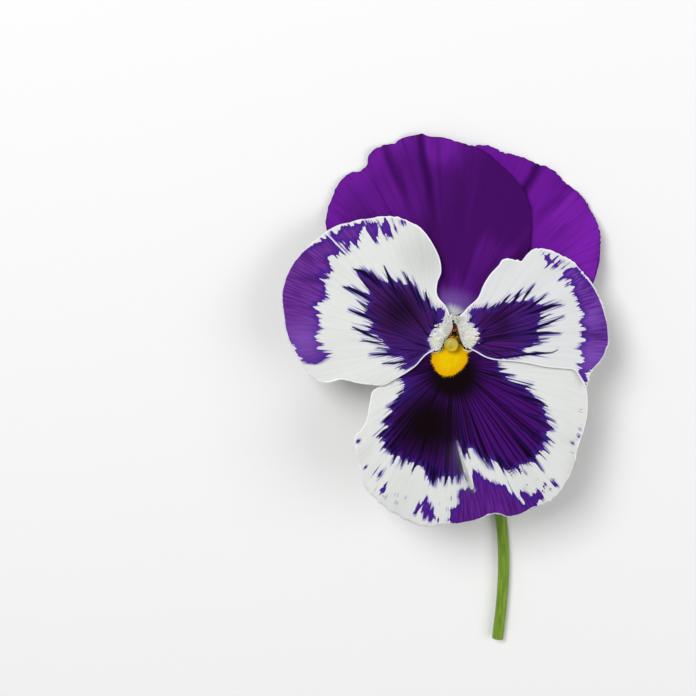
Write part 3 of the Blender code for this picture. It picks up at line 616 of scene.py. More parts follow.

# The pigment, as seen from the face. The flames are one outline, each of them a spike between two notches,
# and the bands are outlines too. Strokes are dark and dashes have the band's colour: half a width, then
# points from the tip inwards. Tones are soft ovals: middle x and y, half width, half height, strength. The
# grey shade oval and the dark oval over the band's crease are painted shade, not pigment.
LEFT_PIGMENT = {
    "flames": [
        (-3.6, -1.3), (-5.0, -2.7), (-6.6, -4.3), (-8.2, -5.2), (-9.9, -4.7), (-8.2, -4.0), (-12.3, -3.9),
        (-9.9, -3.5), (-8.7, -3.0), (-11.8, -2.5), (-14.7, -2.2), (-11.8, -1.8), (-13.5, -1.2),
        (-11.4, -1.1), (-12.3, -0.4), (-16.1, 0.3), (-12.5, 0.1), (-13.5, 1.1), (-14.7, 1.4), (-17.8, 2.6),
        (-15.4, 2.3), (-14.5, 2.5), (-15.8, 3.3), (-14.2, 3.3), (-14.9, 4.2), (-18.4, 5.8), (-15.9, 5.3),
        (-15.2, 6.1), (-17.0, 7.4), (-15.3, 6.8), (-14.7, 7.3), (-16.1, 8.2), (-18.9, 9.7), (-19.3, 10.0),
        (-17.8, 9.9), (-14.9, 8.7), (-15.7, 9.9), (-16.6, 11.4), (-17.7, 13.1), (-15.7, 12.6),
        (-14.7, 11.9), (-14.6, 12.7), (-13.7, 11.8), (-12.5, 11.1), (-11.6, 10.8), (-12.2, 13.6),
        (-11.1, 12.0), (-10.1, 10.9), (-9.4, 11.4), (-8.8, 10.5), (-7.8, 10.5), (-8.7, 12.6), (-7.3, 11.1),
        (-6.5, 10.1), (-5.8, 8.3), (-4.9, 7.6), (-4.8, 8.8), (-4.0, 7.3), (-3.0, 5.6), (-2.7, 6.3),
        (-1.9, 6.4), (-1.1, 5.6), (-1.2, 4.4), (-1.6, 3.5), (-2.3, 2.7), (-2.9, 1.9), (-3.6, 1.9),
        (-3.7, 1.1), (-4.2, 0.6),
    ],
    "bands": [
        [
            (-24.7, 18.1), (-23.5, 18.3), (-23.0, 18.9), (-22.3, 19.1), (-21.5, 18.3), (-21.0, 17.5),
            (-20.2, 16.9), (-20.0, 16.1), (-20.7, 15.7), (-21.4, 15.7), (-22.2, 15.2), (-21.7, 14.5),
            (-22.0, 13.9), (-21.6, 13.0), (-21.9, 12.1), (-23.6, 12.6), (-22.5, 11.8), (-22.7, 11.1),
            (-23.7, 11.4), (-22.8, 10.6), (-22.6, 10.0), (-22.8, 9.2), (-22.3, 8.5), (-22.2, 8.0),
            (-23.4, 7.7), (-23.4, 7.3), (-24.7, 6.4), (-24.0, 5.4), (-24.3, 4.4), (-23.8, 4.2),
            (-24.0, 3.2), (-23.7, 2.5), (-24.6, 1.8), (-24.0, 1.3), (-24.6, 0.8), (-23.4, -0.3),
            (-24.3, -0.8), (-24.0, -1.4), (-21.6, -2.1), (-22.4, -2.7), (-23.5, -3.3), (-24.6, -3.8),
            (-26.0, -3.6), (-26.9, -3.3), (-27.7, -2.7), (-28.4, -1.6), (-28.1, -0.3), (-31.6, 0.6),
            (-32.6, 4.2), (-32.6, 12.4), (-29.7, 15.5), (-27.1, 16.6), (-26.2, 17.2), (-25.3, 17.8),
        ],
        [
            (-21.3, 19.2), (-20.6, 19.8), (-20.1, 20.7), (-19.2, 21.2), (-17.9, 21.1), (-17.2, 21.5),
            (-16.2, 21.8), (-15.8, 21.3), (-15.8, 20.2), (-16.4, 19.9), (-16.4, 19.4), (-16.8, 18.3),
            (-17.0, 17.6), (-17.8, 17.6), (-18.2, 18.1), (-18.4, 17.1), (-19.1, 17.7), (-19.8, 18.3),
            (-20.8, 18.4),
        ],
        [
            (-15.3, 21.3), (-15.1, 22.1), (-14.4, 21.5), (-13.8, 22.0), (-13.2, 21.5), (-13.1, 20.2),
            (-13.3, 19.0), (-13.7, 18.0), (-14.4, 18.6), (-15.0, 19.6), (-15.5, 20.2),
        ],
        [
            (-12.6, 21.2), (-12.0, 22.2), (-11.4, 21.9), (-10.9, 20.9), (-10.9, 20.0), (-10.5, 19.3),
            (-10.9, 18.8), (-11.4, 19.0), (-11.8, 19.6), (-12.5, 19.3), (-12.7, 20.3),
        ],
    ],
    "strokes": [
        (0.42, (-17.6, 13.1), (-16.4, 12.8), (-14.7, 11.6), (-13.0, 9.8)),
        (0.22, (-16.7, 11.8), (-15.2, 10.0), (-13.6, 8.4)),
        (0.36, (-19.3, 10.0), (-17.0, 9.0), (-14.4, 7.5)), (0.22, (-17.0, 7.4), (-15.5, 6.2), (-13.5, 4.9)),
        (0.28, (-18.5, 5.8), (-16.0, 4.8), (-13.4, 3.6)), (0.15, (-15.5, 2.9), (-13.3, 2.0)),
        (0.3, (-17.9, 2.7), (-15.6, 1.6), (-12.7, 0.2)), (0.2, (-16.2, 0.4), (-14.0, -0.1), (-11.8, -0.7)),
        (0.14, (-13.5, -1.0), (-11.0, -1.3)), (0.2, (-14.7, -2.2), (-12.2, -2.2), (-9.5, -2.2)),
        (0.2, (-12.5, -3.9), (-10.4, -3.8), (-8.0, -3.5)), (0.16, (-9.9, -4.6), (-7.6, -3.8)),
        (0.16, (-14.6, 12.9), (-13.6, 11.4), (-12.6, 10.0)),
        (0.22, (-14.2, 12.4), (-12.9, 10.5), (-11.8, 8.8)),
        (0.32, (-12.2, 13.7), (-11.4, 11.8), (-10.2, 9.0), (-8.8, 6.4)), (0.2, (-9.3, 11.2), (-8.5, 9.3)),
        (0.3, (-8.7, 12.6), (-7.7, 10.6), (-6.5, 8.2), (-5.4, 5.6)),
        (0.3, (-6.6, 10.0), (-5.6, 7.5), (-4.9, 5.4)), (0.28, (-4.8, 8.9), (-4.3, 7.4), (-3.6, 5.4)),
        (0.22, (-3.4, 6.4), (-2.6, 4.4)), (0.2, (-2.3, 2.6), (-3.2, 4.2)), (0.22, (-2.8, 1.9), (-4.2, 3.0)),
        (0.22, (-3.6, 0.9), (-5.4, 2.0)), (0.28, (-4.1, -1.0), (-7.0, 0.0), (-10.0, 1.4)),
        (0.16, (-4.8, -1.7), (-8.5, -1.4), (-11.5, -0.9)),
    ],
    "dashes": [
        (0.2, (-19.6, 21.0), (-18.9, 19.9)), (0.2, (-17.6, 21.7), (-17.1, 20.6)),
        (0.18, (-16.2, 22.1), (-15.9, 20.8)), (0.2, (-15.2, 22.4), (-14.9, 21.0)),
        (0.2, (-14.2, 22.2), (-14.0, 20.8)), (0.18, (-12.1, 22.4), (-12.0, 21.2)),
        (0.16, (-11.2, 22.0), (-11.1, 20.8)), (0.15, (-10.6, 20.9), (-10.5, 19.6)),
        (0.2, (-16.1, 20.6), (-15.8, 19.2)), (0.18, (-13.2, 21.2), (-13.0, 19.8)),
        (0.16, (-11.7, 19.6), (-11.5, 18.7)), (0.16, (-10.8, 19.6), (-10.5, 18.6)),
        (0.15, (-10.3, 20.6), (-10.2, 20.1)), (0.2, (-20.9, 19.6), (-20.2, 18.2)),
        (0.2, (-19.4, 18.6), (-18.7, 17.0)), (0.2, (-17.4, 18.8), (-16.9, 17.3)),
        (0.2, (-21.6, 19.8), (-21.0, 18.6)), (0.18, (-23.4, 19.0), (-22.6, 17.6)),
        (0.15, (-9.0, 21.9), (-8.9, 21.4)), (0.2, (-20.4, 16.6), (-19.5, 15.8)),
        (0.2, (-21.3, 16.2), (-20.6, 15.1)),
    ],
    "dots": [(-10.3, 20.4), (-8.8, 21.6)],
    "tones": {
        "gloom": [(-9.5, 5.5, 7.0, 7.0, 0.7)],
        "glimmer": [(-1.8, 5.0, 2.6, 2.6, 0.9), (-9.0, -1.5, 6.0, 6.0, 0.4)],
        # Painted shade where the upper right lobe curves away.
        "shade": [(-4.5, 15.5, 8.0, 8.0, 0.22)],
        "band_glow": [(-27.0, 0.0, 6.5, 6.5, 0.6)],
        # Painted shade over the band's crease, on the fold at (-25.6, 11.3).
        "band_crease_shade": [(-25.5, 11.4, 4.0, 1.6, 0.5)],
    },
}
RIGHT_PIGMENT = {
    "flames": [
        (3.3, -1.4), (4.4, -2.1), (6.1, -3.1), (8.4, -3.5), (10.6, -3.0), (13.1, -2.5), (15.9, -2.1),
        (18.2, -1.9), (19.1, -1.4), (17.6, -1.6), (15.9, -1.7), (13.6, -1.8), (12.8, -1.5), (14.0, -1.2),
        (15.9, -0.2), (14.8, -0.3), (17.3, 0.5), (15.7, 0.6), (15.8, 1.1), (19.4, 1.6), (17.6, 1.9),
        (15.7, 1.6), (15.4, 2.2), (16.3, 2.7), (18.2, 3.6), (20.2, 4.6), (18.2, 4.1), (16.5, 3.4),
        (15.6, 3.0), (16.1, 3.8), (17.8, 5.0), (16.1, 4.5), (15.9, 5.1), (16.5, 5.9), (18.2, 6.4),
        (19.8, 6.8), (17.8, 6.7), (16.7, 6.4), (15.5, 7.0), (17.2, 8.6), (15.9, 7.7), (14.9, 7.3),
        (14.6, 8.3), (13.8, 7.5), (13.1, 7.8), (14.8, 10.1), (13.3, 8.4), (12.5, 7.5), (11.5, 7.5),
        (12.5, 9.4), (11.2, 7.9), (10.6, 7.3), (9.6, 7.3), (10.6, 8.7), (9.3, 7.5), (7.8, 6.4), (8.4, 7.1),
        (7.4, 6.6), (6.3, 6.2), (6.5, 7.0), (5.8, 6.4), (4.8, 6.3), (3.6, 6.2), (2.9, 5.3), (3.3, 4.7),
        (2.8, 3.4), (4.0, 3.2), (3.7, 2.3), (4.7, 2.4), (4.2, 0.8), (4.6, 0.6), (4.2, -0.2),
    ],
    "bands": [
        [
            (19.9, 11.9), (19.9, 12.6), (20.6, 13.3), (21.8, 13.7), (22.6, 13.4), (23.3, 12.8),
            (23.6, 12.1), (24.6, 11.4), (25.0, 10.4), (27.0, 10.6), (29.0, 7.9), (30.4, 5.8), (31.2, 1.3),
            (30.4, -0.6), (28.6, -3.8), (26.4, -4.4), (25.7, -4.7), (25.0, -5.3), (24.2, -5.9),
            (24.3, -6.5), (24.2, -7.5), (23.3, -6.3), (22.3, -5.2), (23.4, -4.7), (23.1, -4.0),
            (23.9, -3.0), (23.1, -2.7), (23.3, -1.9), (22.4, -1.3), (24.2, 0.0), (23.6, 0.7), (23.6, 1.6),
            (24.4, 2.3), (23.1, 2.8), (23.3, 4.1), (24.0, 5.0), (22.6, 6.4), (22.9, 7.7), (22.3, 8.3),
            (22.1, 9.9), (21.4, 10.0), (21.6, 11.2), (20.7, 11.4),
        ],
        [
            (16.5, 15.9), (17.1, 15.8), (17.7, 16.1), (18.1, 14.9), (17.4, 13.9), (16.7, 14.5),
        ],
        [
            (18.3, 14.9), (18.9, 14.5), (19.0, 13.7), (18.0, 13.7), (17.9, 14.3),
        ],
    ],
    "strokes": [
        (0.38, (19.7, 6.8), (18.1, 6.5), (15.5, 5.6), (12.0, 4.6)),
        (0.16, (17.8, 5.1), (16.0, 4.1), (14.0, 3.1)),
        (0.26, (20.2, 4.7), (17.5, 3.4), (14.4, 2.3), (11.0, 1.6)),
        (0.28, (19.4, 1.6), (17.0, 1.7), (13.5, 1.4), (10.0, 1.0)),
        (0.14, (17.3, 0.5), (15.0, 0.4), (12.5, 0.1)), (0.14, (16.4, -0.2), (14.0, -0.7), (11.5, -1.1)),
        (0.26, (19.1, -1.4), (18.2, -1.9), (14.0, -2.2), (10.0, -2.7), (7.2, -2.9)),
        (0.26, (17.0, 8.6), (15.5, 7.3), (13.8, 6.0), (11.5, 5.0)),
        (0.26, (14.7, 10.1), (13.6, 8.8), (12.3, 6.9)), (0.3, (12.4, 9.3), (11.6, 8.0), (10.6, 6.2)),
        (0.24, (10.6, 8.7), (9.6, 7.6), (8.2, 5.8)), (0.18, (8.7, 7.3), (7.6, 5.7)),
        (0.18, (8.0, 7.0), (7.0, 5.6)), (0.2, (6.5, 7.0), (5.6, 5.4)), (0.18, (2.9, 3.4), (4.2, 4.9)),
        (0.22, (3.6, 2.2), (5.2, 3.4)), (0.24, (4.1, 0.8), (6.0, 2.0), (8.5, 3.0)),
        (0.28, (3.7, -1.0), (6.0, 0.1), (9.5, 0.6)), (0.14, (5.5, -1.6), (9.0, -1.6), (12.5, -1.6)),
    ],
    "dashes": [
        (0.2, (16.4, 16.2), (17.0, 15.0)), (0.16, (17.4, 16.2), (17.6, 15.4)),
        (0.24, (18.6, 14.9), (18.2, 14.2)), (0.15, (19.2, 14.8), (19.4, 14.5)),
        (0.22, (20.4, 13.6), (19.8, 12.6)), (0.2, (20.1, 12.0), (19.5, 11.4)),
        (0.2, (21.2, 13.9), (20.8, 13.1)), (0.2, (22.0, 13.7), (21.6, 13.0)),
        (0.2, (21.2, 10.9), (20.7, 10.2)), (0.16, (23.3, 12.6), (23.0, 12.2)),
    ],
    "dots": [(20.4, 14.2)],
    "tones": {
        "gloom": [(9.0, 3.6, 5.0, 5.0, 0.55)],
        "glimmer": [(3.4, 5.0, 2.4, 2.4, 0.9), (15.0, 2.0, 7.0, 7.0, 0.5)],
        "band_glow": [(25.6, 4.0, 3.0, 3.0, 0.5), (25.2, -2.8, 4.5, 4.5, 0.55)],
        # Painted shade over the band's crease, on the fold at (26.4, 1.5).
        "band_crease_shade": [(26.0, 1.2, 3.667, 1.1, 0.6)],
    },
}
DOT_RADIUS = 0.06
FAR_OUTSIDE = -5.0


def inside_by(x, y, outline):
    """How far inside a closed outline each place is, negative outside: the least distance to its sides, with
    a sign from the count of sides that a ray to the right crosses."""
    crossed = np.zeros(x.shape, bool)
    closed = [*outline, outline[0]]
    for (ax, ay), (bx, by) in zip(closed[:-1], closed[1:]):
        level = (ay > y) != (by > y)
        crossed ^= level & (x < ax + (y - ay) * (bx - ax) / ((by - ay) or 1.0))
    nearest = distance_to(x, y, closed)
    return np.where(crossed, nearest, -nearest)


def side_left_depth(across, along, x, y, reach):
    """Up over a short rise of 0.9(1 - e^(-reach/0.8)), then back as the square of what is past 13 mm."""
    depth = SIDE_RIM + 0.9 * (1 - np.exp(-reach / 0.8)) - 0.010 * np.maximum(0, reach - 13) ** 2
    return depth + 0.4 * along**3 * np.sin(2 * np.pi * (3.5 * across + 0.1))


def side_right_depth(across, along, x, y, reach):
    """As its pair, flatter, and past 12 mm, with waves that die out at the tip over the lower petal."""
    depth = SIDE_RIM + 0.9 * (1 - np.exp(-reach / 0.8)) - 0.007 * np.maximum(0, reach - 12) ** 2
    waves = 0.4 * along**3 * np.sin(2 * np.pi * (3.5 * across + 0.4))
    return depth + waves * smooth_step((0.95 - across) / 0.2)


def strokes_in(x, y, strokes):
    """How far inside the nearest stroke each place is: its half width less the distance to its line. The
    width grows from a third at the tip to the full before the middle, and thins again to the root."""
    inside = np.full(x.shape, FAR_OUTSIDE)
    for half_width, *points in strokes:
        steps = np.hypot(*np.diff(points, axis=0).T)
        starts = np.concatenate([[0], np.cumsum(steps)])
        for (ax, ay), (bx, by), start, step in zip(points[:-1], points[1:], starts, steps):
            share = np.clip(((x - ax) * (bx - ax) + (y - ay) * (by - ay)) / step**2, 0, 1)
            away = np.hypot(x - ax - share * (bx - ax), y - ay - share * (by - ay))
            way = (start + share * step) / starts[-1]
            grown = np.clip(np.minimum(0.33 + 1.8 * way, 1.45 - 1.1 * way), 0, 1)
            inside = np.maximum(inside, half_width * grown - away)
    return inside


def pigment_marks(grid, petal, pigment, **marks):
    """How far inside the flames, the bands and the dark strokes each point is, and its tones. A dot is a band
    of its radius and a dash is a short stroke of the band's colour."""
    x, y = grid["x"], grid["y"]
    bands = [inside_by(x, y, outline) for outline in pigment["bands"]]
    band = np.max([strokes_in(x, y, pigment["dashes"]), *bands], axis=0)
    for dot_x, dot_y in pigment["dots"]:
        band = np.maximum(band, DOT_RADIUS - np.hypot(x - dot_x, y - dot_y))
    blotch, stroke = inside_by(x, y, pigment["flames"]), strokes_in(x, y, pigment["strokes"])
    inside = {"blotch": blotch, "band": band, "stroke": stroke}
    on_limb = {key: np.where(grid["down"] > 0, FAR_OUTSIDE, depth) for key, depth in inside.items()}
    tones = {key: np.minimum(1, ovals(x, y, spots).max(0)) for key, spots in pigment["tones"].items()}
    nothing = np.zeros_like(x)
    plain = dict.fromkeys(("crease", "shade", "band_glow", "band_crease_shade"), nothing)
    return sheet_marks(grid, petal, **{"yellow": nothing + FAR_OUTSIDE, **plain, **tones, **on_limb, **marks})


def pigment_paint(name, seed, white, deep, warm, fringe, band, band_light, claw):
    """White sheet with bands, flames and strokes, and a yellow patch where a petal has one. Noise over the
    vein coordinate moves each outline in and out along the veins: a little everywhere, and much at narrow
    needles. The flames are deep, warmer between dark veins, and a blue-violet hatch fills the notches between
    them. The strokes are darkest, and sink into the blotch. A thin white line follows the margin."""
    paint = Paint(name, 0.62)
    vein, reach, margin = paint.mark("vein"), paint.mark("reach"), paint.mark("margin")
    fine = paint.streaks(vein, reach, 3.2, 0.22, 2.0, seed)
    coarse = paint.streaks(vein, reach, 1.0, 0.10, 2.0, seed + 7)
    needles = paint.streaks(vein, reach, 1.5, 0.03, 1.0, seed + 21)
    lines = paint.streaks(vein, reach, 0.34, 0.012, 1.0, seed + 13)
    hairlines = paint.streaks(vein, reach, 1.3, 0.02, 1.0, seed + 17)
    ragged = paint.shifted(paint.maths("MULTIPLY", paint.maths("SUBTRACT", coarse, 0.5), 0.8), fine, 1.0)
    spikes = paint.ramp(needles, 0.56, 0.74, 0.0, 1.1)
    gaps = paint.ramp(needles, 0.44, 0.30, 0.0, -0.4)
    ragged = paint.maths("ADD", ragged, paint.maths("ADD", spikes, gaps))

    def torn(mark, share, wild):
        """How far inside an outline a point is, once the outline is ragged."""
        depth = paint.maths("ADD", paint.mark(mark), paint.maths("MULTIPLY", ragged, share))
        return paint.shifted(depth, hairlines, wild) if wild else depth

    base = paint.mix(paint.ramp(coarse, 0.45, 0.75, 0.0, 0.4), white, "#cccecb")
    base = paint.lay(base, "#c4c6c4", fine, 0.5, 0.8, 0.3)

    band_in = torn("band", 0.5, 1.3)
    between_hairs = paint.ramp(hairlines, 0.46, 0.58, 0.0, 0.6)
    haze = paint.maths("MULTIPLY", paint.ramp(band_in, -0.55, -0.02), between_hairs)
    base = paint.mix(haze, base, "#4c3196")
    band_tone = paint.mix(paint.ramp(fine, 0.38, 0.64), band, band_light)
    band_tone = paint.lay(band_tone, "#3f1d84", band_in, 1.2, 0.3, 0.8)
    band_tone = paint.mix(paint.mark("band_glow"), band_tone, "#7f52b4")
    # Painted shade: darker purple over the band's crease.
    band_tone = paint.mix(paint.mark("band_crease_shade"), band_tone, "#2c0c52")
    base = paint.lay(base, band_tone, band_in, -0.06, 0.07)

    flame_in = paint.maths("SUBTRACT", torn("blotch", 0.5, 0.0), 0.1)
    between_hairs = paint.ramp(hairlines, 0.46, 0.58, 0.0, 0.85)
    hatch = paint.maths("MULTIPLY", paint.ramp(flame_in, -0.9, -0.06), between_hairs)
    base = paint.mix(hatch, base, "#5034a0")
    base = paint.lay(base, fringe, flame_in, -0.06, 0.08)
    body = paint.mix(paint.ramp(paint.from_middle(lines), 0.07, 0.0), warm, deep)
    body = paint.lay(body, deep, hairlines, 0.48, 0.66, 0.65)
    body = paint.mix(paint.mark("glimmer"), body, fringe)
    body = paint.lay(body, "#0f050a", paint.mark("gloom"), 0.0, 1.0)
    base = paint.lay(base, body, paint.shifted(flame_in, hairlines, 2.0), 0.0, 1.1)
    stroke_in = paint.shifted(paint.mark("stroke"), fine, 0.25)
    sunk = paint.ramp(flame_in, 3.2, 1.0, 0.45, 1.0)
    halo = paint.maths("MULTIPLY", paint.ramp(stroke_in, -0.09, 0.0, 0.0, 0.6), sunk)
    core = paint.maths("MULTIPLY", paint.ramp(stroke_in, -0.04, 0.12), sunk)
    base = paint.mix(core, paint.mix(halo, base, "#2c1568"), "#14082e")

    yellow_in = torn("yellow", 0.36, 1.0)
    yellow = paint.mix(paint.ramp(yellow_in, 1.9, 0.3), "#e6c004", "#dda703")
    grain = paint.noise(paint.object_place(), 1300.0, 3.0)
    yellow = paint.lay(yellow, "#dca900", grain, 0.42, 0.7, 0.3)
    base = paint.lay(base, "#3a1c06", yellow_in, -0.34, -0.08, 0.8)
    base = paint.lay(base, yellow, yellow_in, -0.07, 0.05)

    # Painted shade: grey where the shade mark is high, on the left petal's curving lobe and beside the lower
    # petal's pleat.
    base = paint.mix(paint.mark("shade"), base, "#6a6a68")
    base = paint.mix(paint.mark("crease"), base, white)
    edge = paint.maths("ADD", margin, paint.maths("MULTIPLY", coarse, 0.14))
    base = paint.lay(base, "#efecf2", edge, 0.36, 0.22, 0.9)
    base = paint.lay(base, claw, paint.mark("claw"), 0.02, 0.4)
    behind = paint.mix(0.62, base, "#d0d2c4")
    base = paint.mix(paint.mark("front"), behind, base)
    paint.velvet(coarse, 0.3, 0.00006)
    return paint.finish(base, Specular_IOR_Level=0.02)


left_pigment = pigment_paint("left side petal pigment", 2.0, "#d8dad7", "#1d0926", "#441a62", "#3e2079",
                             "#552179", "#6a3494", "#dfe3c2")
right_pigment = pigment_paint("right side petal pigment", 40.0, "#d6d7d8", "#1d0628", "#4a1a6c", "#3f217c",
                              "#512280", "#733fa1", "#dfe3c2")
side_left = make_petal(
    "petal_side_left", SIDE_LEFT, side_left_depth, left_pigment,
    lambda grid: pigment_marks(grid, SIDE_LEFT, LEFT_PIGMENT))
side_right = make_petal(
    "petal_side_right", SIDE_RIGHT, side_right_depth, right_pigment,
    lambda grid: pigment_marks(grid, SIDE_RIGHT, RIGHT_PIGMENT))


# Lower petal
# The broadest petal, white, with the largest blotch of flames, a purple wedge at its bottom, and the yellow
# patch that guides insects into the throat. A blunt nectar spur grows back from its claw, in one piece.

LOWER_RIM = -2.9
LOWER = {
    "root": 270, "turn": 1, "bow": 1.5, "cells": (300, 160), "seed": 31, "fan": (0.2, -4.0), "aim": 270,
    "folds": [], "lip": 1.1,
    "rim": [(-1.7, -1.3), (-0.7, -1.45), (0.3, -1.5), (1.3, -1.45), (2.3, -1.3)],
    "near": [
        (-2.8, -1.8), (-4.4, -1.7), (-6.5, -3.0), (-8.5, -4.4), (-11.0, -6.2), (-12.6, -7.8), (-14.3, -8.9),
        (-14.8, -10.9), (-15.4, -14.1), (-16.6, -16.1),
    ],
    "far": [
        (-17.6, -17.2), (-17.2, -19.8), (-16.5, -23.3), (-15.8, -26.1), (-14.1, -28.1), (-12.0, -30.1),
        (-9.2, -31.9), (-6.3, -33.3), (-3.4, -33.6), (-0.6, -33.3), (2.9, -33.0), (5.5, -32.3), (7.2, -31.4),
        (8.9, -31.4), (10.3, -31.9), (12.6, -31.6), (14.9, -30.4), (17.2, -29.6), (19.5, -27.8),
        (21.2, -25.0), (22.4, -22.4), (23.3, -18.7), (24.4, -15.2),
    ],
    "back": [
        (24.8, -12.1), (24.7, -9.5), (24.2, -7.0), (22.6, -4.6), (19.4, -3.4), (16.0, -2.6), (12.2, -1.9),
        (9.5, -1.3), (7.0, -1.0), (4.9, -1.2), (3.3, -1.5),
    ],
}
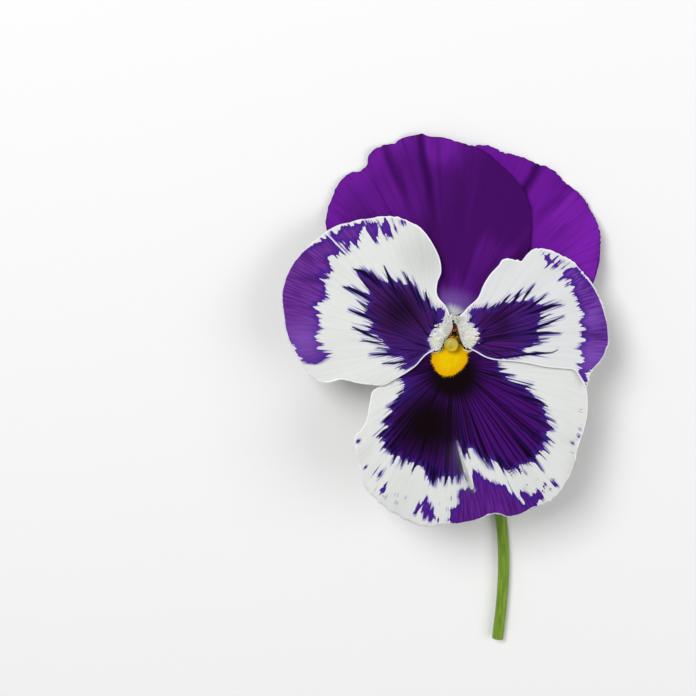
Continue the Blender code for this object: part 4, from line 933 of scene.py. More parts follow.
LOWER_PIGMENT = {
    "flames": [
        (3.3, -0.9), (4.6, -1.0), (6.0, -1.6), (7.5, -2.4), (8.5, -3.1), (8.7, -4.3), (9.9, -5.0),
        (8.8, -5.4), (11.2, -6.0), (9.9, -6.4), (11.5, -7.3), (14.4, -7.9), (13.5, -8.4), (14.5, -9.0),
        (15.2, -9.8), (17.4, -11.6), (16.5, -11.7), (17.5, -12.8), (16.9, -13.2), (18.6, -14.2),
        (17.3, -14.3), (18.9, -15.6), (17.9, -16.0), (17.2, -16.6), (18.6, -18.3), (17.0, -18.0),
        (16.7, -18.5), (17.6, -20.1), (16.2, -19.7), (17.1, -21.1), (15.4, -20.6), (15.7, -21.6),
        (16.6, -23.4), (15.2, -22.1), (14.1, -21.9), (12.1, -22.5), (13.6, -23.9), (11.5, -23.1),
        (10.1, -23.2), (11.0, -24.6), (9.3, -23.1), (9.5, -23.6), (8.3, -21.9), (7.5, -21.6), (6.9, -21.2),
        (7.4, -22.7), (6.0, -21.0), (6.6, -22.8), (5.7, -21.2), (4.6, -20.1), (3.8, -19.2), (3.4, -19.3),
        (3.0, -19.3), (3.4, -21.1), (2.7, -20.3), (2.2, -20.9), (1.8, -20.2), (1.2, -18.9), (1.4, -20.6),
        (1.9, -22.5), (2.7, -25.0), (1.7, -24.1), (1.3, -25.5), (0.9, -24.2), (0.2, -25.4), (-0.4, -24.4),
        (-1.1, -26.1), (-1.4, -24.4), (-2.0, -25.5), (-2.4, -24.4), (-3.1, -26.0), (-3.7, -25.5),
        (-4.0, -24.6), (-4.6, -24.1), (-4.4, -24.9), (-5.2, -22.9), (-6.0, -22.4), (-7.2, -23.4),
        (-6.9, -22.1), (-7.7, -21.9), (-8.3, -21.2), (-9.2, -22.7), (-9.0, -21.3), (-9.8, -20.6),
        (-10.6, -22.3), (-10.3, -20.6), (-11.0, -20.3), (-11.5, -19.5), (-12.4, -19.4), (-11.9, -18.3),
        (-12.8, -17.8), (-12.2, -17.5), (-13.5, -17.1), (-11.6, -15.5), (-12.4, -14.5), (-11.6, -13.2),
        (-10.8, -12.5), (-11.5, -11.7), (-10.0, -10.6), (-9.7, -9.4), (-8.8, -8.9), (-8.7, -7.3),
        (-9.4, -6.7), (-10.2, -6.0), (-8.0, -4.2), (-6.3, -3.1), (-4.9, -2.2), (-3.6, -1.6), (0.0, -1.1),
    ],
    "bands": [
        [
            (3.9, -22.7), (3.5, -24.4), (3.9, -26.1), (3.7, -26.5), (2.9, -26.5), (2.3, -26.7),
            (1.4, -27.0), (1.2, -28.1), (1.5, -29.2), (0.7, -30.1), (0.3, -30.4), (-0.5, -30.3),
            (0.0, -31.2), (-0.5, -32.5), (0.3, -32.7), (0.6, -34.5), (4.6, -34.5), (7.5, -33.1),
            (9.2, -33.4), (12.3, -33.4), (13.8, -31.7), (16.1, -30.1), (15.8, -29.6), (17.2, -28.1),
            (16.2, -27.4), (14.8, -27.1), (14.6, -28.5), (14.1, -27.7), (12.4, -26.7), (12.1, -28.0),
            (13.2, -29.2), (10.6, -26.9), (9.9, -25.6), (9.2, -25.9), (8.3, -26.0), (7.5, -25.3),
            (6.0, -24.9), (4.6, -23.4),
        ],
    ],
    "strokes": [
        (0.2, (-10.0, -9.5), (-7.8, -8.2)), (0.2, (-10.6, -10.9), (-8.6, -9.5)),
        (0.22, (-11.4, -12.0), (-9.2, -10.6)), (0.3, (-12.4, -14.5), (-10.4, -13.1)),
        (0.28, (-13.6, -17.3), (-12.0, -16.0), (-10.0, -14.8)), (0.2, (-12.9, -17.8), (-10.6, -16.3)),
        (0.28, (-12.4, -19.2), (-10.6, -17.1)), (0.3, (-11.1, -20.4), (-9.4, -18.0)),
        (0.18, (-10.6, -22.1), (-10.0, -19.8), (-9.0, -17.5)), (0.24, (-9.2, -22.5), (-7.9, -19.6)),
        (0.22, (-7.9, -22.3), (-7.0, -20.0)), (0.2, (-7.2, -23.4), (-6.2, -21.6), (-5.4, -19.5)),
        (0.24, (-5.3, -22.9), (-4.7, -20.5)), (0.3, (-4.5, -24.0), (-3.9, -21.0)),
        (0.36, (-3.3, -26.0), (-3.0, -21.5)), (0.28, (-3.8, -24.9), (-3.4, -21.5)),
        (0.22, (-2.7, -24.9), (-2.4, -21.5)), (0.2, (-2.0, -25.5), (-1.8, -22.0)),
        (0.24, (-1.3, -26.1), (-0.8, -24.4), (-0.6, -21.5)), (0.15, (0.1, -25.6), (0.2, -22.0)),
        (0.24, (1.2, -25.6), (1.3, -24.0), (1.1, -20.5)),
        (0.24, (2.7, -25.0), (2.0, -23.3), (1.2, -20.4), (0.6, -17.0)), (0.2, (9.9, -4.9), (7.4, -4.7)),
        (0.2, (11.3, -6.0), (8.3, -5.8), (5.5, -5.2)), (0.16, (14.4, -8.0), (12.3, -7.7), (9.0, -6.7)),
        (0.14, (14.4, -8.8), (11.8, -8.5)),
        (0.34, (17.4, -11.7), (16.0, -10.8), (13.2, -10.0), (8.5, -8.6)),
        (0.18, (18.6, -14.3), (16.5, -13.6), (13.0, -12.7), (8.0, -10.4)),
        (0.26, (18.9, -15.8), (16.8, -14.6), (14.0, -13.4), (10.0, -11.4)),
        (0.16, (18.0, -16.5), (15.5, -15.9), (12.0, -14.3)),
        (0.24, (18.7, -18.3), (17.3, -18.0), (15.0, -17.1), (11.0, -14.9), (8.0, -12.5)),
        (0.12, (17.5, -20.1), (15.3, -19.2)), (0.16, (17.1, -21.2), (15.8, -20.0), (14.0, -18.3)),
        (0.24, (16.5, -23.4), (15.6, -21.8), (14.0, -19.4), (10.6, -15.6), (7.0, -11.5)),
        (0.15, (14.7, -22.6), (13.3, -21.4), (11.0, -19.0)),
        (0.2, (13.7, -24.0), (11.7, -22.7), (10.0, -21.0), (8.0, -18.0)),
        (0.2, (11.1, -24.5), (10.0, -23.0), (8.4, -20.4), (6.2, -16.0)),
        (0.16, (11.7, -24.1), (10.2, -22.6), (8.8, -20.6)),
        (0.28, (9.6, -23.6), (9.0, -22.4), (7.6, -19.9)), (0.18, (7.4, -22.7), (6.4, -21.4), (5.4, -19.2)),
        (0.28, (6.6, -22.9), (5.6, -21.0), (4.2, -17.9), (3.0, -14.0)),
        (0.28, (3.3, -21.1), (2.7, -19.6), (2.0, -16.8), (1.4, -12.5)), (0.2, (2.2, -20.8), (1.7, -18.0)),
    ],
    "dashes": [
        (0.34, (-13.7, -24.8), (-12.2, -22.7)), (0.28, (-13.2, -27.1), (-12.2, -26.4)),
        (0.3, (-12.6, -27.5), (-11.8, -26.2)), (0.2, (-12.3, -28.1), (-12.1, -27.8)),
        (0.2, (-12.2, -26.2), (-11.9, -25.7)), (0.5, (-6.9, -31.4), (-5.8, -30.2), (-4.5, -28.4)),
        (0.28, (-5.9, -31.5), (-4.9, -30.3)), (0.4, (-4.6, -32.1), (-4.3, -30.7), (-3.9, -29.4)),
        (0.4, (-3.7, -32.4), (-3.4, -31.0), (-3.2, -30.3)), (0.3, (-2.9, -32.5), (-3.1, -31.0)),
        (0.3, (-2.4, -32.7), (-2.3, -32.1)), (0.4, (-5.4, -30.9), (-4.2, -29.2)),
        (0.3, (19.5, -26.0), (18.2, -25.7)), (0.25, (17.4, -25.6), (17.0, -26.3)),
        (0.25, (18.2, -26.7), (18.5, -26.6)), (0.22, (18.7, -24.9), (19.1, -24.8)),
        (0.3, (17.2, -28.2), (15.8, -26.9)), (0.3, (16.6, -28.8), (14.9, -27.3)),
        (0.22, (17.3, -27.4), (16.2, -26.8)), (0.35, (16.2, -29.3), (15.6, -28.4)),
        (0.4, (13.9, -29.4), (12.5, -27.0)),
    ],
    "dots": [
        (-10.0, -27.7), (-9.8, -29.2), (-8.1, -28.3), (-2.2, -29.4), (-0.3, -28.4), (-15.5, -22.7),
        (-16.9, -17.9), (23.5, -12.3), (23.5, -15.5), (23.4, -16.3), (23.2, -17.3), (22.1, -18.2),
        (21.9, -20.1), (15.5, -25.2), (13.8, -26.0),
    ],
    "tones": {
        "gloom": [(0.3, -6.0, 9.0, 9.0, 1.25), (-4.0, -15.0, 12.0, 12.0, 1.0)],
        "glimmer": [(-9.0, -8.5, 5.0, 5.0, 0.75)],
    },
}
CREASE = [(0.9, -18.0), (1.6, -20.5), (2.3, -23.0), (3.2, -25.2), (4.2, -27.0)]
CREASE_STEP = 0.3
YELLOW_PATCH = [
    (-3.7, -1.3), (-3.55, -1.8), (-3.55, -2.7), (-3.6, -3.6), (-3.3, -4.2), (-2.9, -4.9), (-2.5, -5.5),
    (-2.0, -5.9), (-1.4, -6.1), (-0.8, -6.2), (0.0, -6.05), (0.6, -5.8), (1.1, -5.5), (1.6, -5.1),
    (2.0, -4.8), (2.5, -4.1), (2.8, -3.6), (2.95, -3.0), (2.8, -2.4), (3.1, -2.0), (3.5, -1.8), (3.9, -1.4),
    (3.4, -0.9), (2.3, 0.6), (0.0, 1.2), (-2.0, 0.6), (-3.2, -1.0),
]
SPUR_PATH = [
    (0.5, -1.6, -4.9), (0.5, -2.4, -6.0), (0.5, -3.1, -7.6), (0.5, -3.6, -9.4), (0.5, -3.8, -10.9),
    (0.5, -3.85, -11.4),
]
SPUR_RADII = [0.6, 1.0, 1.1, 1.05, 0.8, 0.3]
SPUR_RINGS = 40
SPUR_SIDES = 28
SPUR_MARKS = {
    "claw": 1.0, "margin": FAR_FROM_MARGIN, "front": 0.15, "blotch": FAR_OUTSIDE, "band": FAR_OUTSIDE,
    "stroke": FAR_OUTSIDE}


def lower_depth(across, along, x, y, reach):
    """Up 0.7 mm out of the throat, arched by 0.4 mm over 26 mm, back as the square of what is past 16 mm, and
    five waves that grow to the free margin as along^3."""
    arch = 0.4 * np.sin(np.pi * np.clip(reach / 26, 0, 1))
    depth = LOWER_RIM + 0.7 * (1 - np.exp(-reach / 1.5)) + arch - 0.011 * np.maximum(0, reach - 16) ** 2
    waves = 0.5 * along**3 * np.sin(2 * np.pi * (5 * across + 0.2))
    return depth + waves * smooth_step(across / 0.1) * smooth_step((1 - across) / 0.2)


def ring_faces(rings, sides, tubes=1):
    """Faces of four corners between the rings of one or more tubes, round and back to the first side."""
    number = np.arange(tubes * rings * sides).reshape(tubes, rings, sides)
    here, there = number[:, :-1], number[:, 1:]
    return np.stack([here, np.roll(here, -1, 2), np.roll(there, -1, 2), there], -1).reshape(-1, 4)


def tube_arrays(knots, rings, sides, swell=None):
    """A circle carried along a smooth path whose fourth coordinate is its radius: places are the path plus
    radius times cos and sin of the angle round it. Rings of shrinking radius close both ends. swell(angle,
    share) scales the radius. Returns points, faces, and each point's share of the path and angle."""
    curve = smooth_curve(knots)
    share = np.concatenate([np.zeros(3), np.linspace(0, 1, rings), np.ones(3)])
    open_by = np.concatenate([[0.001, 0.5, 0.85], np.ones(rings), [0.85, 0.5, 0.001]])
    line = read_curve(curve, share)
    step = 0.5 / rings
    tangent = read_curve(curve, np.clip(share + step, 0, 1)) - read_curve(curve, np.clip(share - step, 0, 1))
    tangent = tangent[:, :3] / np.linalg.norm(tangent[:, :3], axis=1, keepdims=True)
    up = np.cross(tangent, (1.0, 0.0, 0.0))
    up /= np.linalg.norm(up, axis=1, keepdims=True)
    side = np.cross(up, tangent)
    angle = np.linspace(0, 2 * np.pi, sides, endpoint=False)[None, :]
    radius = (line[:, 3] * open_by)[:, None] * (swell(angle, share[:, None]) if swell else 1.0)
    around = np.cos(angle)[..., None] * side[:, None] + np.sin(angle)[..., None] * up[:, None]
    points = line[:, None, :3] + radius[..., None] * around
    marks = {"share": np.repeat(share, sides), "angle": np.tile(angle[0], len(share))}
    return points.reshape(-1, 3), ring_faces(len(share), sides), marks


def facing_out(points, faces):
    """The faces, turned round where the sum of the tetrahedra from the origin to them is negative."""
    a, b, c, d = (points[faces[:, corner]] for corner in range(4))
    volume = (np.cross(a, b) * c).sum() + (np.cross(a, c) * d).sum()
    return faces if volume > 0 else faces[:, ::-1]


def crease_of(x, y):
    """The pleat down the lower petal's middle: the distance to its right, in mm, and its strength there."""
    (ax, ay), (bx, by) = CREASE[0], CREASE[-1]
    along = ((x - ax) * (bx - ax) + (y - ay) * (by - ay)) / np.hypot(bx - ax, by - ay) ** 2
    side = np.sign((y - ay) * (bx - ax) - (x - ax) * (by - ay))
    share = smooth_step((along + 0.1) / 0.4) * smooth_step((1.15 - along) / 0.3)
    return side * distance_to(x, y, CREASE), share


def lower_relief(grid, petal):
    """The veins and folds, and the pleat: a step up to its right that dies away over 1.5 mm."""
    x, y = grid["x"], grid["y"]
    sideways, share = crease_of(x, y)
    right = np.exp(-np.maximum(sideways, 0) / 1.5)
    step = np.where(sideways > 0, right, np.exp(np.minimum(sideways, 0) / 0.15))
    return relief(grid, petal) + CREASE_STEP * share * step


def lower_marks(grid):
    x, y = grid["x"], grid["y"]
    yellow = np.where(grid["down"] > 0, 2.0, inside_by(x, y, YELLOW_PATCH))
    sideways, share = crease_of(x, y)
    crease = np.exp(-((sideways - 0.1) / 0.16) ** 2) * share
    # Painted shadow of the pleat: grey on its left side, fading over about 0.9 mm.
    shade = 0.5 * share * np.where(sideways < 0, np.exp(np.minimum(sideways, 0) / 0.9), 0)
    return pigment_marks(grid, LOWER, LOWER_PIGMENT, yellow=yellow, crease=crease, shade=shade)


lower_pigment = pigment_paint("lower petal pigment", 80.0, "#d9dbd8", "#12021a", "#430f68", "#3a1f78",
                              "#47166c", "#60258a", "#c9a416")
lower_points, lower_faces, lower_values = petal_arrays(LOWER, lower_depth, lower_marks, lower_relief)
spur_points, spur_faces, _ = tube_arrays(np.column_stack([SPUR_PATH, SPUR_RADII]), SPUR_RINGS, SPUR_SIDES)
spur_faces = facing_out(spur_points, spur_faces)
for key, values in lower_values.items():
    lower_values[key] = np.concatenate([values, np.full(len(spur_points), SPUR_MARKS.get(key, 0.0))])
lower = add_piece(
    "petal_lower_limb_and_spur", stand(np.vstack([lower_points, spur_points])),
    np.vstack([lower_faces, spur_faces + len(lower_points)]), lower_pigment, lower_values)
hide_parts("petal_lower")


# Beards
# A tuft of fine white club-shaped hairs on each side petal, where it turns down into the throat. The outer
# hairs lean out over the blotch, the inner ones over the opening.

BEARD_HAIRS = 700
HAIR_LENGTH = 0.95
HAIR_RADIUS = 0.115
HAIR_RINGS = 6
HAIR_SIDES = 5
HAIR_SINK = 0.05
HAIR_BEND = 0.35
HAIR_PROFILE = ([0, 0.3, 0.75, 0.92, 1], [1.0, 0.9, 1.1, 0.8, 0.1])
TUFTS = 6.5
# The strips that the hairs stand on, from the top down: the edge at the opening, and the edge at the blotch.
LEFT_BEARD = (
    [(-0.6, 4.6), (-0.4, 3.8), (-0.3, 2.8), (-0.9, 1.2), (-1.7, -0.2), (-2.3, -1.0)],
    [(-1.1, 4.3), (-1.7, 3.5), (-2.6, 2.3), (-3.2, 1.3), (-3.6, 0.3), (-3.3, -1.1)],
)
RIGHT_BEARD = (
    [(1.1, 4.4), (0.8, 3.7), (1.25, 2.8), (1.6, 1.5), (1.95, 0.3), (2.5, -0.6)],
    [(1.9, 4.2), (2.4, 3.6), (3.2, 2.7), (4.1, 1.6), (4.0, 0.6), (3.5, -0.7)],
)


def beard_arrays(petal, depth, strip, seed, outward):
    """Each hair is a circle carried along base + length * (share * direction + share^2 * bend), with a
    radius that narrows, swells to a club and closes. Its root is drawn between the two edges of the strip. At
    the blotch the hairs lie flat, and their lengths rise and fall so that the tips gather in teeth. The low
    outer hairs are tinted yellow."""
    draw = np.random.default_rng(seed)
    down, out = draw.uniform(0, 1, (2, BEARD_HAIRS))
    inner, outer = (read_curve(smooth_curve(edge), down) for edge in strip)
    x, y = (inner + out[:, None] * (outer - inner)).T
    reach = distance_to(x, y, petal["rim"])
    root = np.stack([x, y, depth(0 * x, 0 * x, x, y, reach) - HAIR_SINK], -1)
    teeth = np.abs(np.sin(np.pi * TUFTS * down))
    lean = out[:, None] * np.array(outward) + (down - 0.35)[:, None] * np.array([0, -0.9, 0])
    inward = (1 - out) * smooth_step(1 - down / 0.4)
    lean = lean - 0.6 * inward[:, None] * np.array(outward)
    direction = lean + draw.normal(0, 0.09, (BEARD_HAIRS, 3)) + np.stack([0 * x, 0 * x, 0.6 - 0.3 * out], -1)
    direction /= np.linalg.norm(direction, axis=1, keepdims=True)
    shorter = 0.5 * out * (1 - teeth) + 0.35 * (1 - out) * (1 - inward)
    length = (HAIR_LENGTH * draw.uniform(0.9, 1.08, BEARD_HAIRS) * (1 - shorter))[:, None, None]
    share = np.linspace(0, 1, HAIR_RINGS)[None, :, None]
    bend = HAIR_BEND * lean[:, None, :] * share**2
    line = root[:, None, :] + length * (share * direction[:, None, :] + bend)
    radius = HAIR_RADIUS * np.interp(share[0, :, 0], *HAIR_PROFILE)
    side = np.cross(direction, (0.3, 0.8, 0.1))
    side /= np.linalg.norm(side, axis=1, keepdims=True)
    up = np.cross(direction, side)
    angle = np.linspace(0, 2 * np.pi, HAIR_SIDES, endpoint=False)[None, None, :, None]
    around = np.cos(angle) * side[:, None, None, :] + np.sin(angle) * up[:, None, None, :]
    points = line[:, :, None, :] + radius[None, :, None, None] * around
    tint = 0.8 * smooth_step((down - 0.5) / 0.4) * smooth_step((out - 0.2) / 0.5)
    walls = ring_faces(HAIR_RINGS, HAIR_SIDES, BEARD_HAIRS)
    return points.reshape(-1, 3), walls, np.repeat(tint, HAIR_RINGS * HAIR_SIDES)


beard_paint = Paint("beard hairs", 0.45)
hair_tone = beard_paint.ramp(beard_paint.noise(beard_paint.object_place(), 900.0), 0.4, 0.65)
hair_base = beard_paint.mix(hair_tone, "#d3d4cc", "#e4e4e0")
hair_base = beard_paint.mix(beard_paint.mark("tint"), hair_base, "#dad88a")
beard_material = beard_paint.finish(hair_base, Sheen_Weight=0.05, Specular_IOR_Level=0.2)
for name, petal, depth, strip, seed, outward in (
        ("beard_left", SIDE_LEFT, side_left_depth, LEFT_BEARD, 51, (-1.5, -0.3, 0)),
        ("beard_right", SIDE_RIGHT, side_right_depth, RIGHT_BEARD, 52, (1.5, -0.2, 0))):
    hair_points, hair_faces, hair_tint = beard_arrays(petal, depth, strip, seed, outward)
    hair_faces = facing_out(hair_points, hair_faces)
    beard = add_piece(name, stand(hair_points), hair_faces, beard_material, {"tint": hair_tint})


# Pistil
# The ovary, its bent style and the round hollow stigma, in one. Only the stigma's greenish-yellow knob shows
# from the front, over the yellow patch.

PISTIL_PATH = [
    (0.5, 1.4, -6.5), (0.5, 1.4, -6.2), (0.5, 1.4, -5.3), (0.5, 1.4, -4.5), (0.5, 1.35, -3.8),
    (0.45, 1.2, -3.0), (0.3, 0.8, -2.3), (0.1, 0.2, -1.8), (0.0, -0.1, -1.5), (-0.1, -0.4, -1.0),
    (-0.1, -0.55, -0.5), (-0.15, -0.65, -0.15), (-0.15, -0.7, 0.0),
]
PISTIL_RADII = [0.4, 0.8, 1.0, 0.8, 0.42, 0.3, 0.34, 0.5, 0.95, 1.24, 1.26, 1.0, 0.45]
PISTIL_RINGS = 120
PISTIL_SIDES = 48
STIGMA_PIT = (-0.2, -1.35, 0.1)
PIT_RADIUS = 0.42
PIT_DEPTH = 0.35

pistil_points, pistil_faces, pistil_marks = tube_arrays(
    np.column_stack([PISTIL_PATH, PISTIL_RADII]), PISTIL_RINGS, PISTIL_SIDES)
pit = np.exp(-(np.linalg.norm(pistil_points - STIGMA_PIT, axis=1) / PIT_RADIUS) ** 2)
pistil_points = pistil_points - PIT_DEPTH * pit[:, None] * np.array([0, -0.4, 0.9])
stigma_marks = {
    "share": pistil_marks["share"], "pit": 0.7 * pit, "low": smooth_step((0.1 - pistil_points[:, 1]) / 1.6)}
stigma_paint = Paint("stigma and style", 0.38)
share = stigma_paint.mark("share")
freckles = stigma_paint.noise(stigma_paint.object_place(), 3500.0, 2.0)
stigma_tone = stigma_paint.mix(stigma_paint.ramp(freckles, 0.35, 0.7), "#ab9d32", "#bcae48")
stigma_tone = stigma_paint.mix(stigma_paint.mark("low"), stigma_tone, "#d6b41e")
# Painted shade: darker olive in the stigma's pit.
stigma_tone = stigma_paint.mix(stigma_paint.mark("pit"), stigma_tone, "#8f8220")
stigma_tone = stigma_paint.lay(stigma_tone, "#6f8030", share, 0.62, 0.45)
stigma_paint.bump(freckles, 0.00004)
pistil = add_piece(
    "stigma_style_and_ovary", stand(pistil_points), facing_out(pistil_points, pistil_faces),
    stigma_paint.finish(stigma_tone, Coat_Weight=0.15, Coat_Roughness=0.3), stigma_marks)
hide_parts("pistil")


# Stamens
# Five stalkless anthers in a ring round the ovary. Each is a pale two-lobed sac with an orange-brown papery
# tip, and the tips close round the style behind the stigma.

STAMEN_RING = 1.52
STAMEN_SIZE = (1.4, 0.5, 3.2)
STAMEN_MIDDLE = -4.85
STAMEN_LEAN = 0.2
TIP_RISE = 2.1
TIP_LEAN = 0.28
ANTHER_ROWS = 40
ANTHER_SIDES = 32
LOWEST_ANTHERS = (2, 3)


def stamen_arrays(turn):
    """An ellipsoid over longitude and latitude, wide across the ring and thin through it, with a groove down
    its middle. Above its middle it is drawn out by TIP_RISE times the square of the height and leans in."""
    latitude = np.linspace(-np.pi / 2 + 0.01, np.pi / 2 - 0.01, ANTHER_ROWS)[:, None]
    longitude = np.linspace(0, 2 * np.pi, ANTHER_SIDES, endpoint=False)[None, :]
    wide = 0.5 * STAMEN_SIZE[0] * np.cos(latitude) ** 0.7 * np.cos(longitude)
    thin = 0.5 * STAMEN_SIZE[1] * np.cos(latitude) * np.sin(longitude)
    thin = thin * (1 - 0.35 * np.exp(-(wide / 0.16) ** 2))
    tall = 0.5 * STAMEN_SIZE[2] * np.sin(latitude) + 0 * longitude
    upper = np.clip(tall / (0.5 * STAMEN_SIZE[2]), 0, 1)
    wide = wide * (1 + 0.9 * upper * (1 - upper))
    tall = tall + TIP_RISE * upper**2 + 0.05 * np.sin(9 * wide) * upper
    angle = np.radians(turn)
    radial = np.array([np.cos(angle), np.sin(angle), 0])
    tangent = np.array([-np.sin(angle), np.cos(angle), 0])
    out = STAMEN_RING + thin - STAMEN_LEAN * tall - TIP_LEAN * upper**2
    centre = np.array([*AXIS, STAMEN_MIDDLE])
    points = centre + out[..., None] * radial + wide[..., None] * tangent + tall[..., None] * (0, 0, 1)
    height = np.sin(latitude + 0 * longitude).ravel() * 0.5 + 0.5
    return points.reshape(-1, 3), ring_faces(ANTHER_ROWS, ANTHER_SIDES), height


anther_paint = Paint("anther sac and tip", 0.6)
grit = anther_paint.noise(anther_paint.object_place(), 4200.0, 3.0)
height = anther_paint.maths("ADD", anther_paint.mark("height"), anther_paint.maths("MULTIPLY", grit, 0.2))
tip_tone = anther_paint.mix(anther_paint.mark("low"), "#a8582a", "#d29a22")
anther_tone = anther_paint.lay("#d9cf9a", tip_tone, height, 0.62, 0.8)
anther_tone = anther_paint.lay(anther_tone, "#7c3c14", grit, 0.5, 0.75, 0.5)
anther_paint.bump(grit, 0.00005)
anther_material = anther_paint.finish(anther_tone, Specular_IOR_Level=0.3)
for number in range(5):
    stamen_points, stamen_faces, stamen_height = stamen_arrays(90 + 72 * number)
    stamen_faces = facing_out(stamen_points - stamen_points.mean(0), stamen_faces)
    low = np.full(len(stamen_height), float(number in LOWEST_ANTHERS))
    stamen = add_piece(
        f"anther_{number + 1}", stand(stamen_points), stamen_faces, anther_material,
        {"height": stamen_height, "low": low})
    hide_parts(f"stamen_{number + 1}")


# Sepals
# Five pointed green leaves behind the petals, each with an ear that reaches back past the receptacle. They
# have a keel, parallel veins and a thin pale margin.

SEPAL_ANGLES = (90, 157, 222, 318, 23)
SEPAL_LINE = [(3.35, -9.6), (3.35, -8.6), (3.5, -7.7), (4.3, -7.2), (6.5, -6.8), (10.0, -6.2), (14.5, -5.6)]
SEPAL_HALF_WIDTHS = [0.7, 1.15, 1.2, 1.5, 2.0, 1.6, 0.15]
SEPAL_HALF_THICKNESS = 0.2
SEPAL_COLUMNS = 33
SEPAL_ROWS = 81


def sepal_grid(angle):
    """A strip along the sepal's line, as wide as its half width there either side, bent back to a keel by
    0.35(1 - side^2), with toothed ears."""
    line = smooth_curve([(r, z, w) for (r, z), w in zip(SEPAL_LINE, SEPAL_HALF_WIDTHS)])
    across, along = np.meshgrid(np.linspace(-1, 1, SEPAL_COLUMNS), np.linspace(0, 1, SEPAL_ROWS))
    r, z, half = np.moveaxis(read_curve(line, along), -1, 0)
    teeth = 1 + 0.16 * np.sin(40 * along + 2 * across) * smooth_step((0.16 - along) / 0.1) * across**4
    radial = np.array([np.cos(np.radians(angle)), np.sin(np.radians(angle))])
    tangent = np.array([-radial[1], radial[0]])
    flat = AXIS + r[..., None] * radial + (across * half * teeth)[..., None] * tangent
    keel = 0.35 * (1 - across**2) * np.minimum(1, half)
    veins = 0.03 * np.cos(2 * np.pi * 3.5 * across) + 0.03 * value_noise(across * 9, along * 30, angle)
    return np.concatenate([flat, (z - keel)[..., None]], -1), veins, across, along


leaf_paint = Paint("sepal green", 0.5)
leaf_side, leaf_along = leaf_paint.mark("side"), leaf_paint.mark("along")
leaf_streaks = leaf_paint.streaks(leaf_side, leaf_along, 9.0, 6.0, 3.0, 3.0)
leaf_tone = leaf_paint.mix(leaf_paint.ramp(leaf_streaks, 0.35, 0.68), "#4c6b1c", "#7d9a3e")
from_keel = leaf_paint.maths("ABSOLUTE", leaf_side)
leaf_tone = leaf_paint.lay(leaf_tone, "#b3bf86", from_keel, 0.86, 1.0)
leaf_tone = leaf_paint.lay(leaf_tone, "#94ab58", from_keel, 0.14, 0.0, 0.5)
leaf_tone = leaf_paint.lay(leaf_tone, "#7a5a52", leaf_along, 0.9, 1.0, 0.5)
leaf_paint.bump(leaf_streaks, 0.00008)
leaf_material = leaf_paint.finish(leaf_tone, Specular_IOR_Level=0.35)
for number, angle in enumerate(SEPAL_ANGLES, 1):
    middle, veins, side_share, along_share = sepal_grid(angle)
    half = SEPAL_HALF_THICKNESS * (0.35 + 0.65 * np.sqrt(1 - side_share**6))
    sepal_points, sepal_faces = sheet_arrays(middle, half, veins)
    sepal = add_piece(
        f"sepal_{number}_blade", stand(sepal_points), sepal_faces, leaf_material,
        {"side": np.tile(side_share.ravel(), 2), "along": np.tile(along_share.ravel(), 2)})
    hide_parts(f"sepal_{number}")


# Peduncle
# The juicy green flower stalk: the receptacle that carries the petals and sepals, the hooked neck below it,
# and the stem to its cut, pressed flat where it lies. Two tiny scale leaves grow from its sides.

STEM_RADIUS = 1.15
STEM_HEIGHT = 0.95
STEM_FLAT = 0.2
RECEPTACLE_PATH = [(0.5, 1.4, -6.85), (0.5, 1.4, -7.0), (0.5, 1.4, -7.7), (0.5, 1.5, -8.5), (0.5, 1.75, -9.3)]
RECEPTACLE_RADII = [2.5, 2.72, 2.6, 1.7, 1.2]
CROOK_PATH = [(0.5, -0.45, 4.2), (0.5, -0.15, 3.4), (0.5, -0.3, 2.5), (0.6, -1.1, 1.75), (0.8, -2.6, 1.4)]
STEM_PATH = [
    (1.3, -6.5, 1.5), (3.2, -14.0, 1.7), (6.0, -22.0, 1.4), (8.8, -31.0, STEM_HEIGHT),
    (10.7, -39.0, STEM_HEIGHT), (11.4, -47.0, STEM_HEIGHT), (11.3, -55.0, STEM_HEIGHT),
    (10.6, -64.0, STEM_HEIGHT),
]
BRACTEOLE_SHARES = (0.25, 0.28)
BRACTEOLE_LENGTH = 3.3
BRACTEOLE_RADIUS = 0.62
BRACTEOLE_RINGS = 24
BRACTEOLE_SIDES = 16
STALK_RINGS = 420
STALK_SIDES = 44


def stalk_ribs(angle, share):
    """Four shallow ribs that twist slowly, gone at the receptacle."""
    return 1 + 0.045 * np.cos(4 * angle + 3 * share) * smooth_step((share - 0.1) / 0.1)


def bracteole_arrays(knots, share, side):
    """A pointed scale: a flattened circle carried from the stem's flank up towards the flower."""
    curve = smooth_curve(knots)
    here, ahead = read_curve(curve, np.array([share, share - 0.02]))[:, :3]
    forward = (ahead - here) / np.linalg.norm(ahead - here)
    outward = side * np.cross(forward, (0, 0, 1))
    outward /= np.linalg.norm(outward)
    reach = np.linspace(-0.1, 0.9, 6)[:, None]
    direction = 0.85 * forward + (0.5 - 0.25 * reach) * outward
    path = here + 0.55 * outward + BRACTEOLE_LENGTH * reach * direction
    radii = BRACTEOLE_RADIUS * np.array([0.8, 1.0, 0.85, 0.6, 0.35, 0.08])
    return tube_arrays(np.column_stack([path, radii]), BRACTEOLE_RINGS, BRACTEOLE_SIDES)


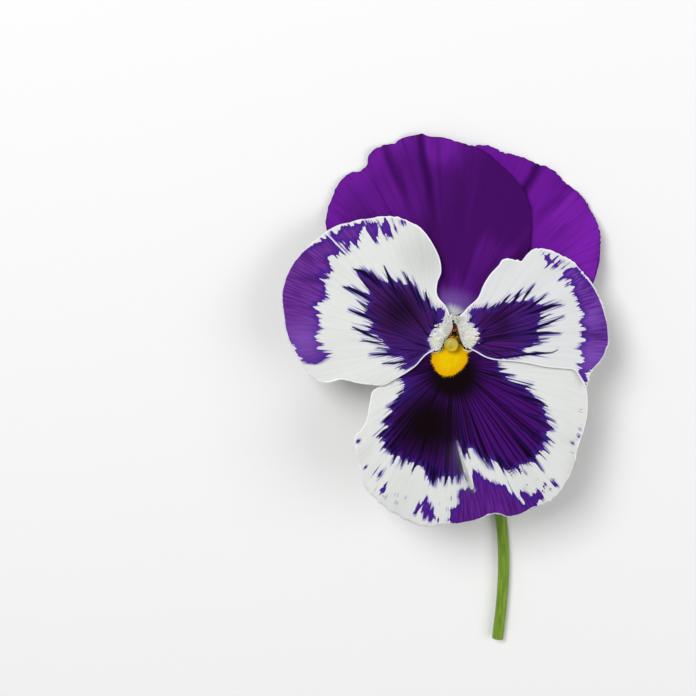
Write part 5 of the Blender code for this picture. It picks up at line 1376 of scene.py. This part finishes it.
lying = np.array(CROOK_PATH + STEM_PATH) + (THROAT[0], THROAT[1], 0)
stalk_path = np.vstack([stand(RECEPTACLE_PATH) * 1000, lying])
stalk_radii = [*RECEPTACLE_RADII, *np.linspace(STEM_RADIUS * 0.95, STEM_RADIUS, len(lying))]
stalk_knots = np.column_stack([stalk_path, stalk_radii])
stalk_points, stalk_faces, stalk_marks = tube_arrays(stalk_knots, STALK_RINGS, STALK_SIDES, stalk_ribs)
parts = [(stalk_points, facing_out(stalk_points, stalk_faces), stalk_marks, 0.0)]
for share_at, side in zip(BRACTEOLE_SHARES, (-1, 1)):
    scale_points, scale_faces, scale_marks = bracteole_arrays(stalk_knots, share_at, side)
    turned = facing_out(scale_points - scale_points.mean(0), scale_faces)
    parts.append((scale_points, turned, scale_marks, 1.0))
starts = np.cumsum([0] + [len(part[0]) for part in parts])
all_points = np.vstack([part[0] for part in parts])
height = all_points[:, 2]
all_points[:, 2] = np.where(height < STEM_FLAT, np.maximum(height, 0) * 0.3, height)
all_faces = np.vstack([part[1] + start for part, start in zip(parts, starts)])
all_marks = {key: np.concatenate([part[2][key] for part in parts]) for key in ("share", "angle")}
all_marks["scale"] = np.concatenate([np.full(len(part[0]), part[3]) for part in parts])
stalk_paint = Paint("stalk green", 0.42)
stalk_share, stalk_angle = stalk_paint.mark("share"), stalk_paint.mark("angle")
stalk_streaks = stalk_paint.streaks(stalk_angle, stalk_share, 2.2, 14.0, 3.0, 9.0)
stalk_tone = stalk_paint.mix(stalk_paint.ramp(stalk_streaks, 0.35, 0.7), "#628414", "#7f9f29")
stalk_tone = stalk_paint.lay(stalk_tone, "#6f8c34", stalk_share, 0.12, 0.02, 0.6)
stalk_tone = stalk_paint.lay(stalk_tone, "#c9cf94", stalk_share, 0.9985, 1.0, 0.75)
stalk_tone = stalk_paint.mix(stalk_paint.mark("scale"), stalk_tone, "#8a9a52")
stalk_paint.bump(stalk_streaks, 0.00006)
peduncle = add_piece(
    "stalk_with_receptacle", all_points / 1000, all_faces,
    stalk_paint.finish(stalk_tone, Specular_IOR_Level=0.45, Coat_Weight=0.1, Coat_Roughness=0.4), all_marks)
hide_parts("peduncle")
